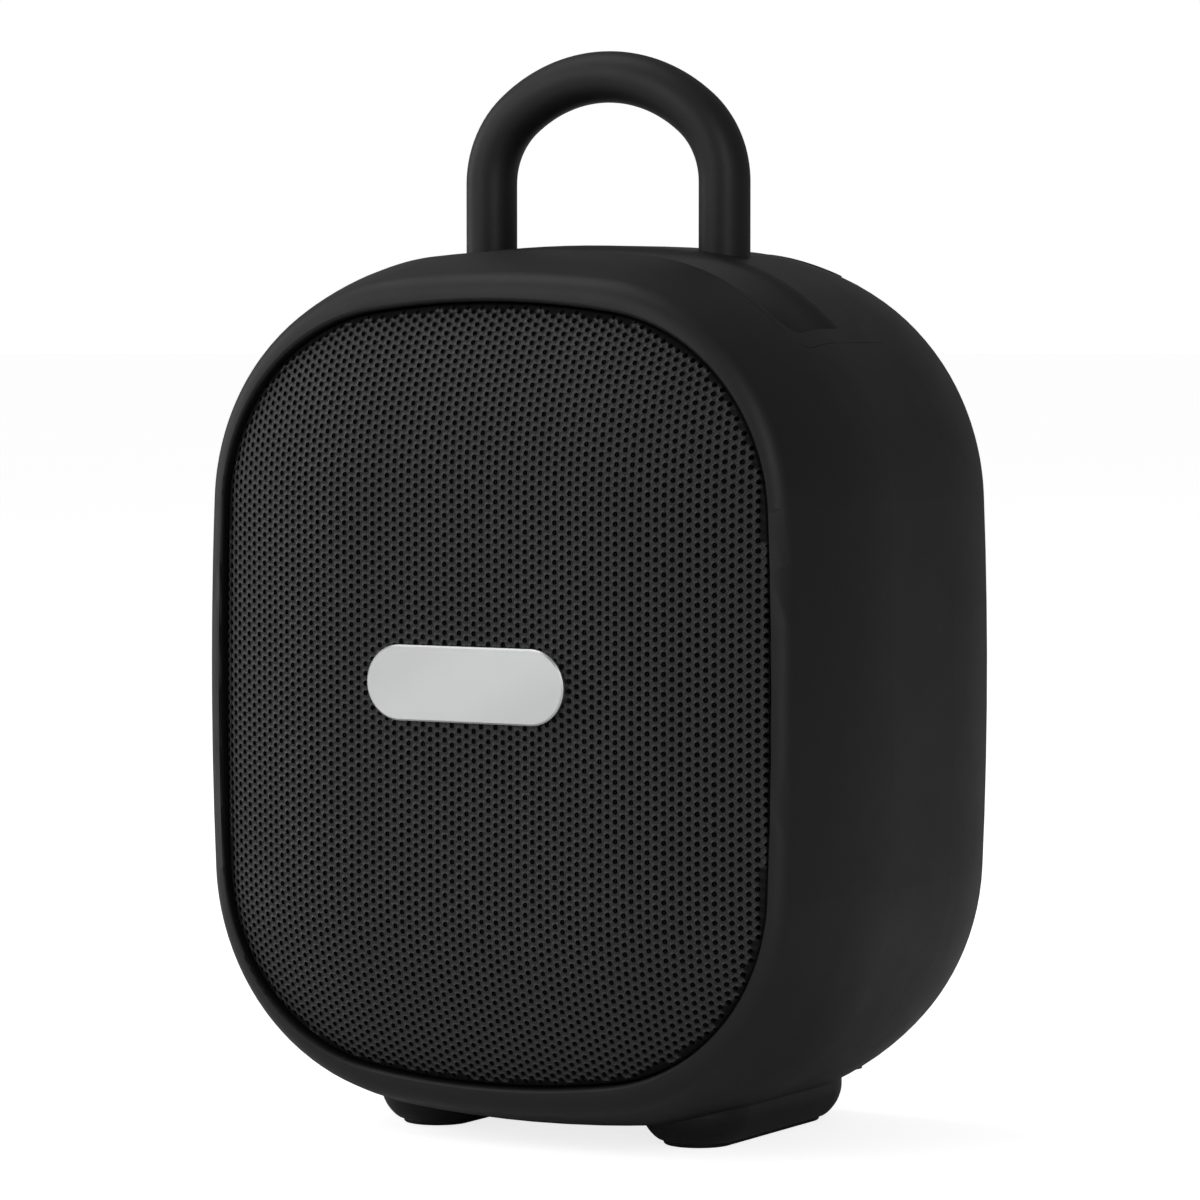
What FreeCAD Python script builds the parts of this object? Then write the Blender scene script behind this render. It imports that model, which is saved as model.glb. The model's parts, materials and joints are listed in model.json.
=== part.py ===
"""Portable speaker with a crowned steel grille, a carrying loop and a control trough on top.

Lengths are millimetres. While it is modelled, x = 0 and z = 0 run through the middle of the case and
y = 0 is the crest of the front rim, with +y towards the back. Each piece is moved on export, so that the
stored origin lies on the ground under the middle of the speaker.
"""
import FreeCAD, Part
import math
import os
from collections import namedtuple
from FreeCAD import Vector

Outline = namedtuple("Outline", "width height r_top r_side r_corner z")

# ---------------------------------------------------------------- case
CASE = Outline(109.4, 133.8, 188.0, 629.0, 39.2, 0.0)
CASE_DEPTH = 65.6
FRONT_INSET, FRONT_REACH, FRONT_EDGE_R = 7.9, 26.0, 4.0
REAR_INSET, REAR_REACH, REAR_EDGE_R = 6.9, 19.2, 5.0
SEAM_Y = 41.3
WALL = 2.4
TONGUE_LENGTH, TONGUE_THICKNESS, TONGUE_GAP = 2.0, 1.0, 0.1
SEAL_THICKNESS = 0.6

# ---------------------------------------------------------------- grille and baffle
OPENING = Outline(94.8, 117.1, 139.9, 726.0, 30.6, -0.2)
OPENING_LIP, LIP_TILT = 0.8, 30.0
BAFFLE_FRONT, BAFFLE_THICKNESS = 7.5, 3.0
GRILLE_GAP, GRILLE_SHEET, GRILLE_EDGE_Y = 0.3, 0.8, 1.45
CROWN_EDGE_ANGLE, CROWN_KNEE_ANGLE = 37.0, 22.0
CROWN_EDGE_SPAN, CROWN_SPAN = 5.0, 28.0
CLOTH_THICKNESS = 0.4
BADGE_WIDTH, BADGE_HEIGHT, BADGE_THICKNESS, BADGE_Z = 33.8, 11.3, 0.7, 1.8
BADGE_BEVEL, ADHESIVE_THICKNESS = 0.25, 0.15

# ---------------------------------------------------------------- driver
DRIVER_Z = -22.0
FRAME_R, FRAME_FLANGE, GASKET_THICKNESS = 33.5, 1.5, 0.6
FLANGE_HOLE_R, BASKET_R, DRIVER_SCREW_R = 26.5, 28.4, 30.9
ROLL_R, ROLL_SHEET = 2.7, 0.5
CONE_R, CONE_NECK_DEPTH, CONE_SHEET, DUST_CAP_R, DUST_CAP_RISE = 21.0, 6.8, 0.6, 10.5, 3.4
COIL_R, COIL_WALL, COIL_LENGTH, COIL_GAP = 8.0, 1.0, 14.0, 0.4
SHELF_R, SHELF_DEPTH, FLOOR_DEPTH, FLOOR_THICKNESS = 19.5, 10.1, 15.6, 1.5
FRAME_WINDOWS = 6
PLATE_R, PLATE_THICKNESS = 20.0, 3.0
MAGNET_R, MAGNET_HOLE_R, MAGNET_THICKNESS = 21.5, 12.0, 7.0

# ---------------------------------------------------------------- passive radiator
RADIATOR_Z, RADIATOR_WIDTH, RADIATOR_HEIGHT = 30.5, 74.0, 27.0
RADIATOR_BORDER, RADIATOR_ROLL_R, RADIATOR_RING, RADIATOR_PLATE = 3.6, 2.0, 1.6, 1.2

# ---------------------------------------------------------------- control panel
PANEL_WIDTH, PANEL_FRONT_Y, PANEL_CORNER_R, PANEL_GAP = 89.6, 14.7, 4.0, 0.1
PANEL_SCREW_X, PANEL_SCREW_Y, PANEL_BOSS_R, PANEL_BOSS_DROP = 36.0, 18.0, 2.6, 13.6
LUG_HALF, LUG_REACH, LUG_THICKNESS = 3.5, 3.2, 2.5
TROUGH_HALF_LENGTH, TROUGH_DEPTH, TROUGH_FRONT_Y, TROUGH_WALL = 43.0, 4.5, 15.6, 1.6
TROUGH_FILLET, TROUGH_FLAT, TROUGH_SLOPE, TROUGH_CORNER_R = 2.0, 5.0, 50.0, 3.5
SHELF_GAP, SHELF_THICKNESS = 0.05, 2.0
TAB_THICKNESS, TAB_REACH, TAB_ROOT, TAB_SPANS = 2.0, 2.0, 3.0, ((-12, 12), (33, 40), (-40, -33))
TROUGH_HOLLOW_R, TROUGH_CREST_R, TROUGH_CREST_OVER, TROUGH_ABOVE = 5.0, 4.5, 0.02, 6.0
BUTTON_NAMES = ("power", "volume_down", "play", "volume_up", "pairing")
BUTTON_PITCH, BUTTON_WIDTH, BUTTON_LENGTH, BUTTON_CORNER_R = 13.0, 8.6, 4.6, 2.2
BUTTON_Y, BUTTON_PROUD, BUTTON_GAP, STEM_GAP = 20.1, 0.6, 0.15, 0.55
BUTTON_FLANGE, BUTTON_FLANGE_RIM = 0.9, 0.8
SHORT_STEM, STEM_R, KEY_BOARD_THICKNESS = 0.3, 1.4, 1.2
BOARD_BOSSES, BOARD_BOSS_Y = (-19.5, 0.0, 19.5), 26.2
SWITCH_BODY, SWITCH_HEIGHT, PLUNGER_R, PLUNGER_HEIGHT = 4.4, 1.5, 1.1, 0.5
LIGHT_R, LIGHT_X = 0.9, BUTTON_PITCH / 2

# ---------------------------------------------------------------- carrying loop
LOOP_R, LOOP_HALF_SPAN, LOOP_RISE = 3.95, 20.55, 16.25
LOOP_Y, LOOP_SPRING_Z, LOOP_ARC_ANGLE = 36.3, 76.5, 50.0
LOOP_FOOT_R, LOOP_FOOT_THICKNESS = 4.8, 2.6
CLAMP_WIDTH, CLAMP_LENGTH, CLAMP_THICKNESS = 62.0, 9.6, 2.4
CLAMP_SCREWS = (-28.0, 0.0, 28.0)

# ---------------------------------------------------------------- feet and shoulder pads
FOOT_X, FOOT_FRONT_Y, FOOT_REAR_Y, FOOT_WIDTH = 23.0, 18.5, CASE_DEPTH - 8.3, 10.6
FOOT_DROP, FOOT_PROUD, FOOT_THICKNESS, FOOT_EDGE = 1.75, 0.65, 1.6, 0.4
RAIL_RIM, RAIL_FLARE, RAIL_FLARE_HEIGHT, RAIL_FULLNESS = 0.3, 3.2, 5.0, 0.75
RAIL_STEPS, RAIL_TOP = 9, 8.0
SHOULDER_X, SHOULDER_Y, SHOULDER_WIDTH, SHOULDER_LENGTH = 23.0, CASE_DEPTH - 8.1, 12.0, 7.4
SHOULDER_DEPTH, SHOULDER_PROUD, SHOULDER_GAP = 1.0, 0.15, 0.05

# ---------------------------------------------------------------- rear ports
BAY_Z, BAY_WIDTH, BAY_HEIGHT, BAY_CORNER_R, BAY_WALL = -41.0, 46.0, 14.6, 3.0, 2.0
COVER_THICKNESS, COVER_GAP, COVER_HEIGHT = 1.6, 0.3, BAY_HEIGHT - 2.6
PLUG_GAP, PLUG_LENGTH = 0.35, 1.2
ANCHOR_SLOTS, ANCHOR_WIDTH, ANCHOR_THICKNESS, ANCHOR_FIT = (-14.0, 14.0), 5.0, 1.0, 0.02
BOARD_TOP, BOARD_THICKNESS, BOARD_WIDTH = -43.4, 1.6, 68.0
BOARD_FRONT_Y, BOARD_BACK_Y = 42.4, CASE_DEPTH - 4.4
BOARD_SCREW_X, BOARD_SCREW_YS, BOARD_POST_R = 30.5, (46.0, 57.0), 3.0
USB_X, USB_WIDTH, USB_HEIGHT, USB_LENGTH, USB_WALL = -11.0, 9.0, 3.3, 7.4, 0.3
JACK_X, JACK_BORE_R, JACK_BORE_LENGTH, JACK_BODY_WIDTH, JACK_BODY_HEIGHT = 11.0, 1.8, 12.0, 6.6, 6.0

# ---------------------------------------------------------------- battery
CELL_R, CELL_LENGTH, CELL_Y, CELL_PITCH, BATTERY_Z = 9.2, 65.0, 50.3, 19.6, 9.0
CELL_GAP, CELL_CONTACT, STRAP_WIDTH, STRAP_THICKNESS = 0.1, 0.8, 14.0, 0.8
STRAP_XS, CRADLE_RIBS = (-14.0, 14.0), (-28.0, 0.0, 28.0)

# ---------------------------------------------------------------- fasteners
CASE_SCREWS = ((44.0, 34.0), (40.0, -45.0))
CASE_SCREW_R, CASE_HEAD_R, CASE_HEAD, CASE_SCREW_SEAT, CASE_SCREW_TIP = 1.5, 2.8, 2.0, 47.0, 30.0
SMALL_SCREW_R, SMALL_HEAD_R, SMALL_HEAD, CAP_SCREW_LENGTH = 1.1, 2.1, 1.4, 6.0
THREAD_GAP = 0.02
SCREW_GAP = 0.2
BOSS_R = 3.5
LEAD_R = 1.0

# ---------------------------------------------------------------- worked-out places
BAFFLE_BACK = BAFFLE_FRONT + BAFFLE_THICKNESS
CASE_TOP = CASE.height / 2
GROUND_Z = -CASE_TOP - FOOT_DROP


def crown_radius():
    """Radius of the shallow arc of the grille's crown."""
    return (CROWN_SPAN - CROWN_EDGE_SPAN) / math.sin(math.radians(CROWN_KNEE_ANGLE))


def edge_radius():
    """Radius of the tighter arc beside the grille's edge."""
    sines = math.sin(math.radians(CROWN_EDGE_ANGLE)) - math.sin(math.radians(CROWN_KNEE_ANGLE))
    return CROWN_EDGE_SPAN / sines


def crown_rise():
    """How far the grille's flat middle stands ahead of its edge."""
    edge, knee = math.radians(CROWN_EDGE_ANGLE), math.radians(CROWN_KNEE_ANGLE)
    return edge_radius() * (math.cos(knee) - math.cos(edge)) + crown_radius() * (1 - math.cos(knee))


GRILLE_CREST_Y = GRILLE_EDGE_Y - crown_rise()
BADGE_BACK_Y = GRILLE_CREST_Y - ADHESIVE_THICKNESS
FRONT_Y = BADGE_BACK_Y - BADGE_THICKNESS
MIDDLE_Y = (FRONT_Y + CASE_DEPTH) / 2


# ================================================================ shape helpers
def outline_arcs(outline):
    """Centre x, centre z, radius, start and end angle of the outline's eight tangent arcs."""
    side_x = outline.width / 2 - outline.r_side
    top_z = outline.height / 2 - outline.r_top
    a, b = outline.r_side - outline.r_corner, outline.r_top - outline.r_corner
    gap = math.hypot(side_x, top_z)
    along = (a * a - b * b + gap * gap) / (2 * gap)
    off = math.sqrt(a * a - along * along)
    ux, uz = -side_x / gap, top_z / gap
    cx = side_x + ux * along - uz * off
    cz = uz * along + ux * off
    low = math.atan2(cz, cx - side_x)
    high = math.atan2(cz - top_z, cx)
    z, pi = outline.z, math.pi
    return [
        (side_x, z, outline.r_side, -low, low),
        (cx, z + cz, outline.r_corner, low, high),
        (0.0, z + top_z, outline.r_top, high, pi - high),
        (-cx, z + cz, outline.r_corner, pi - high, pi - low),
        (-side_x, z, outline.r_side, pi - low, pi + low),
        (-cx, z - cz, outline.r_corner, pi + low, pi + high),
        (0.0, z - top_z, outline.r_top, pi + high, 2 * pi - high),
        (cx, z - cz, outline.r_corner, 2 * pi - high, 2 * pi - low),
    ]


def surface_z(outline, x, inset=0.0):
    """Height of the outline's upper edge above x."""
    for cx, cz, radius, start, end in outline_arcs(outline)[1:3]:
        r = radius - inset
        angle = math.acos(max(-1.0, min(1.0, (abs(x) - cx) / r)))
        if start - 1e-9 <= angle <= end:
            return cz + r * math.sin(angle)
    raise ValueError("x is outside the outline's top")


def outline_wire(outline, inset, y):
    """The outline, moved inwards by inset, as a wire at depth y."""
    edges = []
    for cx, cz, radius, start, end in outline_arcs(outline):
        r = radius - inset
        angles = (start, (start + end) / 2, end)
        points = [Vector(cx + r * math.cos(t), y, cz + r * math.sin(t)) for t in angles]
        edges.append(Part.Arc(*points).toShape())
    return Part.Wire(edges)


def skin(outline, profile):
    """Closed solid: a profile of (inset, depth) lines and arcs, carried round the outline."""
    faces = []
    for cx, cz, radius, start, end in outline_arcs(outline):
        for piece in profile:
            points = [
                Vector(cx + (radius - d) * math.cos(start), y, cz + (radius - d) * math.sin(start))
                for d, y in piece
            ]
            edge = Part.Arc(*points).toShape() if len(points) == 3 else Part.makeLine(*points)
            turned = edge.revolve(Vector(cx, 0, cz), Vector(0, -1, 0), math.degrees(end - start))
            faces.extend(turned.Faces)
    for d, y in (profile[0][0], profile[-1][-1]):
        faces.append(Part.Face(outline_wire(outline, d, y)))
    return solid_of(faces)


def solid_of(faces):
    """Sews faces into one closed solid."""
    shell = Part.makeShell(faces)
    shell.sewShape()
    solid = Part.makeSolid(shell)
    return solid if solid.Volume > 0 else solid.reversed()


def plate(outline, inset, y0, y1):
    """A flat plate of the outline's shape between two depths."""
    return Part.Face(outline_wire(outline, inset, y0)).extrude(Vector(0, y1 - y0, 0))


def band(outline, outer_inset, inner_inset, y0, y1):
    """A wall that follows the outline between two insets."""
    return plate(outline, outer_inset, y0, y1).cut(plate(outline, inner_inset, y0, y1))


def arc_points(centre, radius, start, end):
    """Three points, in degrees, of an arc in a profile's plane."""
    angles = [math.radians(a) for a in (start, (start + end) / 2, end)]
    return tuple((centre[0] + radius * math.cos(a), centre[1] + radius * math.sin(a)) for a in angles)


def round_rect(x, y, width, length, radius):
    """A rounded rectangle in the XY plane, as a face."""
    r = min(radius, width / 2 - 0.001, length / 2 - 0.001)
    x0, x1, y0, y1 = x - width / 2, x + width / 2, y - length / 2, y + length / 2
    corners = ((x1 - r, y1 - r, 0), (x0 + r, y1 - r, 90), (x0 + r, y0 + r, 180), (x1 - r, y0 + r, 270))
    arcs = [arc_points((cx, cy), r, a, a + 90) for cx, cy, a in corners]
    edges = []
    for n, arc in enumerate(arcs):
        edges.append(Part.Arc(*[Vector(px, py, 0) for px, py in arc]).toShape())
        end, start = arc[2], arcs[(n + 1) % 4][0]
        edges.append(Part.makeLine(Vector(end[0], end[1], 0), Vector(start[0], start[1], 0)))
    return Part.Face(Part.Wire(edges))


def prism_z(x, y, width, length, radius, z0, z1):
    """Rounded block standing along z."""
    face = round_rect(x, y, width, length, radius)
    face.translate(Vector(0, 0, z0))
    return face.extrude(Vector(0, 0, z1 - z0))


def prism_y(x, z, width, height, radius, y0, y1):
    """Rounded block lying along y."""
    block = prism_z(x, z, width, height, radius, -y1, -y0)
    block.rotate(Vector(0, 0, 0), Vector(1, 0, 0), 90)
    return block


def box(x0, x1, y0, y1, z0, z1):
    """Plain block between two corners."""
    return Part.makeBox(x1 - x0, y1 - y0, z1 - z0, Vector(x0, y0, z0))


def rod_y(x, z, radius, y0, y1):
    """Cylinder along y."""
    return Part.makeCylinder(radius, y1 - y0, Vector(x, y0, z), Vector(0, 1, 0))


def rod_z(x, y, radius, z0, z1):
    """Cylinder along z."""
    return Part.makeCylinder(radius, z1 - z0, Vector(x, y, z0), Vector(0, 0, 1))


def rod_x(y, z, radius, x0, x1):
    """Cylinder along x."""
    return Part.makeCylinder(radius, x1 - x0, Vector(x0, y, z), Vector(1, 0, 0))


def ring_y(x, z, outer, inner, y0, y1):
    """Flat ring about an axis along y."""
    return rod_y(x, z, outer, y0, y1).cut(rod_y(x, z, inner, y0, y1))


def turned_y(x, z, profile):
    """Solid turned about an axis along y from a closed profile of (radius, depth) lines and arcs."""
    edges = []
    for piece in profile:
        points = [Vector(x + r, y, z) for r, y in piece]
        edges.append(Part.Arc(*points).toShape() if len(points) == 3 else Part.makeLine(*points))
    face = Part.Face(Part.Wire(edges))
    return face.revolve(Vector(x, 0, z), Vector(0, 1, 0), 360)


def polygon(points):
    """A closed run of straight profile pieces."""
    return [(points[n], points[(n + 1) % len(points)]) for n in range(len(points))]


def fuse(shapes):
    """One shape from several that meet."""
    shapes = list(shapes)
    return shapes[0].fuse(shapes[1:]).removeSplitter() if len(shapes) > 1 else shapes[0]


def both_sides(shapes):
    """The shapes and their mirror images in x."""
    shapes = list(shapes)
    return shapes + [s.mirror(Vector(0, 0, 0), Vector(1, 0, 0)) for s in shapes]


def screw_y(x, z, head_y, tip_y, head_r, head, shank_r):
    """Pan-head screw along y, its head's underside at head_y; it may point either way."""
    way = 1 if tip_y > head_y else -1
    back = head_y - way * head
    top = rod_y(x, z, head_r, min(back, head_y), max(back, head_y))
    shank = rod_y(x, z, shank_r, min(head_y, tip_y), max(head_y, tip_y))
    ends = sorted((back, back + way * head / 2))
    socket = prism_y(x, z, head_r, head_r / 3, 0.2, *ends)
    cross = socket.copy()
    cross.rotate(Vector(x, 0, z), Vector(0, 1, 0), 90)
    return fuse([top, shank]).cut([socket, cross])


def screw_z(x, y, head_z, tip_z, head_r, head, shank_r):
    """Pan-head screw along z, its head's underside at head_z; it may point either way."""
    way = 1 if tip_z > head_z else -1
    back = head_z - way * head
    top = rod_z(x, y, head_r, min(back, head_z), max(back, head_z))
    shank = rod_z(x, y, shank_r, min(head_z, tip_z), max(head_z, tip_z))
    ends = sorted((back, back + way * head / 2))
    socket = prism_z(x, y, head_r, head_r / 3, 0.2, *ends)
    cross = socket.copy()
    cross.rotate(Vector(x, y, 0), Vector(0, 0, 1), 90)
    return fuse([top, shank]).cut([socket, cross])


def lead(points, radius):
    """Wire of straight runs and tangent arcs through the corner points."""
    route = [Vector(*p) for p in points]
    edges, here = [], route[0]
    for before, corner, after in zip(route, route[1:], route[2:]):
        a, b = before - corner, after - corner
        turn = math.pi - a.getAngle(b)
        reach = 0.45 * min(a.Length, b.Length)
        a.normalize()
        b.normalize()
        start, end = corner + a * reach, corner + b * reach
        inner = (a + b).normalize()
        r = reach / math.tan(turn / 2)
        middle = corner + inner * (math.hypot(r, reach) - r)
        edges.append(Part.makeLine(here, start))
        edges.append(Part.Arc(start, middle, end).toShape())
        here = end
    edges.append(Part.makeLine(here, route[-1]))
    path = Part.Wire(edges)
    section = Part.Wire(Part.makeCircle(radius, route[0], route[1] - route[0]))
    return path.makePipeShell([section], True, False)


# ================================================================ case
def rounding(inset, reach, edge_r):
    """Radius of the large arc that rounds one end of the case, and the angle where the small one joins."""
    big = (inset**2 + (reach - edge_r) ** 2 - edge_r**2) / (2 * (inset - edge_r))
    angle = math.degrees(math.atan2(reach - edge_r, big - inset))
    return big, angle


def case_profile(d):
    """Profile of the case's skin, moved inwards by d: front rounding, straight side, rear rounding."""
    big, angle = rounding(FRONT_INSET, FRONT_REACH, FRONT_EDGE_R)
    front = [
        arc_points((FRONT_INSET, FRONT_EDGE_R), FRONT_EDGE_R - d, 270, 180 + angle),
        arc_points((big, FRONT_REACH), big - d, 180 + angle, 180),
    ]
    back, rear_angle = rounding(REAR_INSET, REAR_REACH, REAR_EDGE_R)
    start_y, edge_y = CASE_DEPTH - REAR_REACH, CASE_DEPTH - REAR_EDGE_R
    rear = [
        arc_points((back, start_y), back - d, 180, 180 - rear_angle),
        arc_points((REAR_INSET, edge_y), REAR_EDGE_R - d, 180 - rear_angle, 90),
    ]
    return front + [(front[-1][2], rear[0][0])] + rear


def case_skin(d=0.0):
    """Solid bounded by the case's skin, moved inwards by d."""
    return skin(CASE, case_profile(d))


def behind(y):
    """Everything behind a depth."""
    return box(-200, 200, y, 400, -200, 200)


def ahead(y):
    """Everything ahead of a depth."""
    return box(-200, 200, -200, y, -200, 200)


def opening_cut():
    """Pocket that the grille sits in, with a rounded lip."""
    lip = arc_points((-OPENING_LIP, OPENING_LIP), OPENING_LIP, 270 + LIP_TILT, 360)
    start = lip[0]
    outer = (start[0] - (start[1] + 1.0) / math.tan(math.radians(LIP_TILT)), -1.0)
    return skin(OPENING, [(outer, start), lip, (lip[2], (0.0, BAFFLE_FRONT))])


def foot_outline(rim):
    """Centre depth, width, length and corner radius of a foot's outline, grown by rim."""
    width = FOOT_WIDTH + 2 * rim
    length = FOOT_REAR_Y - FOOT_FRONT_Y + 2 * rim
    return (FOOT_REAR_Y + FOOT_FRONT_Y) / 2, width, length, width / 2


def rail_face(y, width, length, radius, flare, z):
    """Outline of the rail, grown by flare, at height z."""
    face = round_rect(FOOT_X, y, width + 2 * flare, length + 2 * flare, radius + flare)
    face.translate(Vector(0, 0, z))
    return face.OuterWire


def rail():
    """Rail under the case that carries a rubber foot, rounded outwards from the foot like a bowl."""
    bottom, top = GROUND_Z + FOOT_PROUD, RAIL_TOP - CASE_TOP
    y, width, length, radius = foot_outline(RAIL_RIM)
    wires = []
    for n in range(RAIL_STEPS + 1):
        angle = math.radians(90.0 * n / RAIL_STEPS)
        flare = RAIL_FLARE * math.sin(angle)
        rise = RAIL_FLARE_HEIGHT * (1 - math.cos(angle)) ** RAIL_FULLNESS
        wires.append(rail_face(y, width, length, radius, flare, bottom + rise))
    bowl = [Part.makeLoft([low, high], True, True) for low, high in zip(wires, wires[1:])]
    grown, neck_z = 2 * RAIL_FLARE, bottom + RAIL_FLARE_HEIGHT
    neck = prism_z(FOOT_X, y, width + grown, length + grown, radius + RAIL_FLARE, neck_z, top)
    return fuse(bowl + [neck])


def foot_recess():
    """Pocket in the rail that the rubber foot is let into."""
    y, width, length, radius = foot_outline(0.05)
    return prism_z(FOOT_X, y, width, length, radius, GROUND_Z - 1, GROUND_Z + FOOT_THICKNESS)


def case_shell(outer, inner):
    """Whole case wall with its rails and foot recesses, before it is split at the seam."""
    rails = both_sides([rail().cut(inner)])
    return outer.fuse(rails).cut(both_sides([foot_recess()]))


def panel_zone(gap=0.0):
    """Column over the control panel, whose rear edge lies at the seam."""
    half = PANEL_WIDTH / 2 + gap
    front = PANEL_FRONT_Y - gap
    r = PANEL_CORNER_R
    column = prism_z(0, front + 40, 2 * half, 80, r, CASE_TOP - 40, CASE_TOP + 5)
    return column.common(ahead(SEAM_Y + gap / 2)).common(box(-200, 200, -200, 400, 30, 100))


def panel_gate(rim):
    """Block over the top of the case as wide as the control panel, grown by rim at each side."""
    half = PANEL_WIDTH / 2 + rim
    return box(-half, half, 0, 60, 30, 100)


def case_boss(x, z, front):
    """Boss for a case screw, in the front or the rear shell."""
    if front:
        return rod_y(x, z, BOSS_R, BAFFLE_BACK - 0.5, SEAM_Y)
    return rod_y(x, z, CASE_HEAD_R + 1.6, SEAM_Y, CASE_DEPTH - 1.0)


def lug():
    """Ear behind the baffle that a control-panel screw passes through."""
    x, z, back = PANEL_SCREW_X, panel_boss_foot(), PANEL_SCREW_Y + LUG_REACH
    return box(x - LUG_HALF, x + LUG_HALF, BAFFLE_BACK - 0.5, back, z - LUG_THICKNESS, z)


def panel_boss_foot():
    """Height of the lower end of the control panel's screw bosses."""
    return surface_z(CASE, PANEL_SCREW_X) - PANEL_BOSS_DROP


def panel_shelf():
    """Shelf behind the baffle that the trough's front underside rests on."""
    top = TROUGH_DEPTH + TROUGH_WALL + SHELF_GAP
    ring = band(CASE, top, top + SHELF_THICKNESS, BAFFLE_BACK - 0.5, TROUGH_FRONT_Y + 0.9)
    return ring.common(box(-30, 30, 0, 40, 20, 100))


def front_housing(outer, inner, shell):
    """Front shell: rim, baffle, screw bosses, and what carries the control panel."""
    body = shell.common(ahead(SEAM_Y)).cut(inner.common(behind(BAFFLE_BACK)))
    body = body.cut([opening_cut(), panel_zone(PANEL_GAP)])
    tongue = band(CASE, WALL - TONGUE_THICKNESS, WALL, SEAM_Y - 1.0, SEAM_Y + TONGUE_LENGTH)
    tongue = tongue.cut([panel_zone(1.0), panel_gate(1.0)])
    bosses = both_sides([case_boss(x, z, True) for x, z in CASE_SCREWS])
    ears = both_sides([lug()])
    body = body.fuse(bosses + ears + [tongue, panel_shelf()])
    holes = [rod_y(0, DRIVER_Z, BASKET_R + 0.5, 0, BAFFLE_BACK + 1), radiator_hole()]
    thread, small_hole = CASE_SCREW_R + THREAD_GAP, SMALL_SCREW_R + SCREW_GAP
    holes += both_sides([rod_y(x, z, thread, CASE_SCREW_TIP - 0.5, SEAM_Y + 1) for x, z in CASE_SCREWS])
    holes += both_sides([rod_z(PANEL_SCREW_X, PANEL_SCREW_Y, small_hole, 20, panel_boss_foot() + 1)])
    holes += [rod_y(x, z, SMALL_SCREW_R + THREAD_GAP, 0, BAFFLE_BACK + 1) for x, z in driver_screw_places()]
    return body.cut(holes)


def rear_housing(outer, inner, shell):
    """Rear shell: screw columns, port bay, board posts and the rebate that takes the tongue."""
    body = shell.common(behind(SEAM_Y)).cut(inner)
    rim, floor = 2 * BAY_WALL, bay_floor()
    width, height, corner = BAY_WIDTH + rim, BAY_HEIGHT + rim, BAY_CORNER_R + BAY_WALL
    thick = prism_y(0, BAY_Z, width, height, corner, floor - BAY_WALL, CASE_DEPTH - 1)
    columns = both_sides([case_boss(x, z, False) for x, z in CASE_SCREWS])
    posts = both_sides([board_post(y) for y in BOARD_SCREW_YS])
    body = body.fuse(columns + posts + [thick])
    rebate_end = SEAM_Y + TONGUE_LENGTH + SEAL_THICKNESS
    rebate = band(CASE, WALL - TONGUE_THICKNESS - TONGUE_GAP, WALL + 1, SEAM_Y - 1, rebate_end)
    rebate = rebate.cut([panel_gate(0.9)] + columns)
    cuts = [rebate, prism_y(0, BAY_Z, BAY_WIDTH, BAY_HEIGHT, BAY_CORNER_R, floor, CASE_DEPTH + 5)]
    cuts += both_sides([rod_y(x, z, CASE_SCREW_R + SCREW_GAP, 0, 80) for x, z in CASE_SCREWS])
    cuts += both_sides([rod_y(x, z, CASE_HEAD_R + SCREW_GAP, CASE_SCREW_SEAT, 80) for x, z in CASE_SCREWS])
    cuts += port_holes() + both_sides([shoulder_recess()])
    thread = SMALL_SCREW_R + THREAD_GAP
    cuts += both_sides([rod_z(BOARD_SCREW_X, y, thread, BOARD_TOP - 12, BOARD_TOP) for y in BOARD_SCREW_YS])
    return body.cut(cuts).fuse(panel_tabs()).cut(anchor_slots())


def panel_tabs():
    """Tabs on the rear shell that reach under the control panel's rear edge."""
    low, root = WALL + TAB_THICKNESS, SEAM_Y + TAB_ROOT
    ring = band(CASE, WALL + SHELF_GAP, low, SEAM_Y - TAB_REACH, root)
    rooted = band(CASE, WALL - 0.5, low, SEAM_Y + 0.2, root)
    return [piece.common(box(x0, x1, 0, 60, 40, 100)) for piece in (ring, rooted) for x0, x1 in TAB_SPANS]


def case_seal():
    """Cord seal that the tongue presses into the rebate."""
    y = SEAM_Y + TONGUE_LENGTH
    ring = band(CASE, WALL - TONGUE_THICKNESS, WALL - TONGUE_GAP, y, y + SEAL_THICKNESS)
    return ring.cut(panel_gate(1.0))


def case_screws():
    """Four long screws that draw the rear shell onto the front one."""
    return both_sides([
        screw_y(x, z, CASE_SCREW_SEAT, CASE_SCREW_TIP, CASE_HEAD_R, CASE_HEAD, CASE_SCREW_R)
        for x, z in CASE_SCREWS
    ])


def foot_pad():
    """Rubber foot let into a rail, with its lower edge eased."""
    y, width, length, radius = foot_outline(0.0)
    pad = prism_z(FOOT_X, y, width, length, radius, GROUND_Z, GROUND_Z + FOOT_THICKNESS)
    lower = [e for e in pad.Edges if e.BoundBox.ZMax < GROUND_Z + 0.01]
    return pad.makeFillet(FOOT_EDGE, lower)


def shoulder_column(gap):
    """Column over the pad on the rear shoulder, grown by gap."""
    width, length = SHOULDER_WIDTH + 2 * gap, SHOULDER_LENGTH + 2 * gap
    return prism_z(SHOULDER_X, SHOULDER_Y, width, length, 3.0 + gap, CASE_TOP - 14, CASE_TOP + 5)


def shoulder_recess():
    """Pocket in the rear shoulder that a pad is let into."""
    return shoulder_column(SHOULDER_GAP).cut(case_skin(SHOULDER_DEPTH))


def shoulder_pad():
    """Rubber pad let into the rear shoulder behind one leg of the loop."""
    return case_skin(-SHOULDER_PROUD).common(shoulder_column(0.0)).cut(case_skin(SHOULDER_DEPTH))


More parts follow.
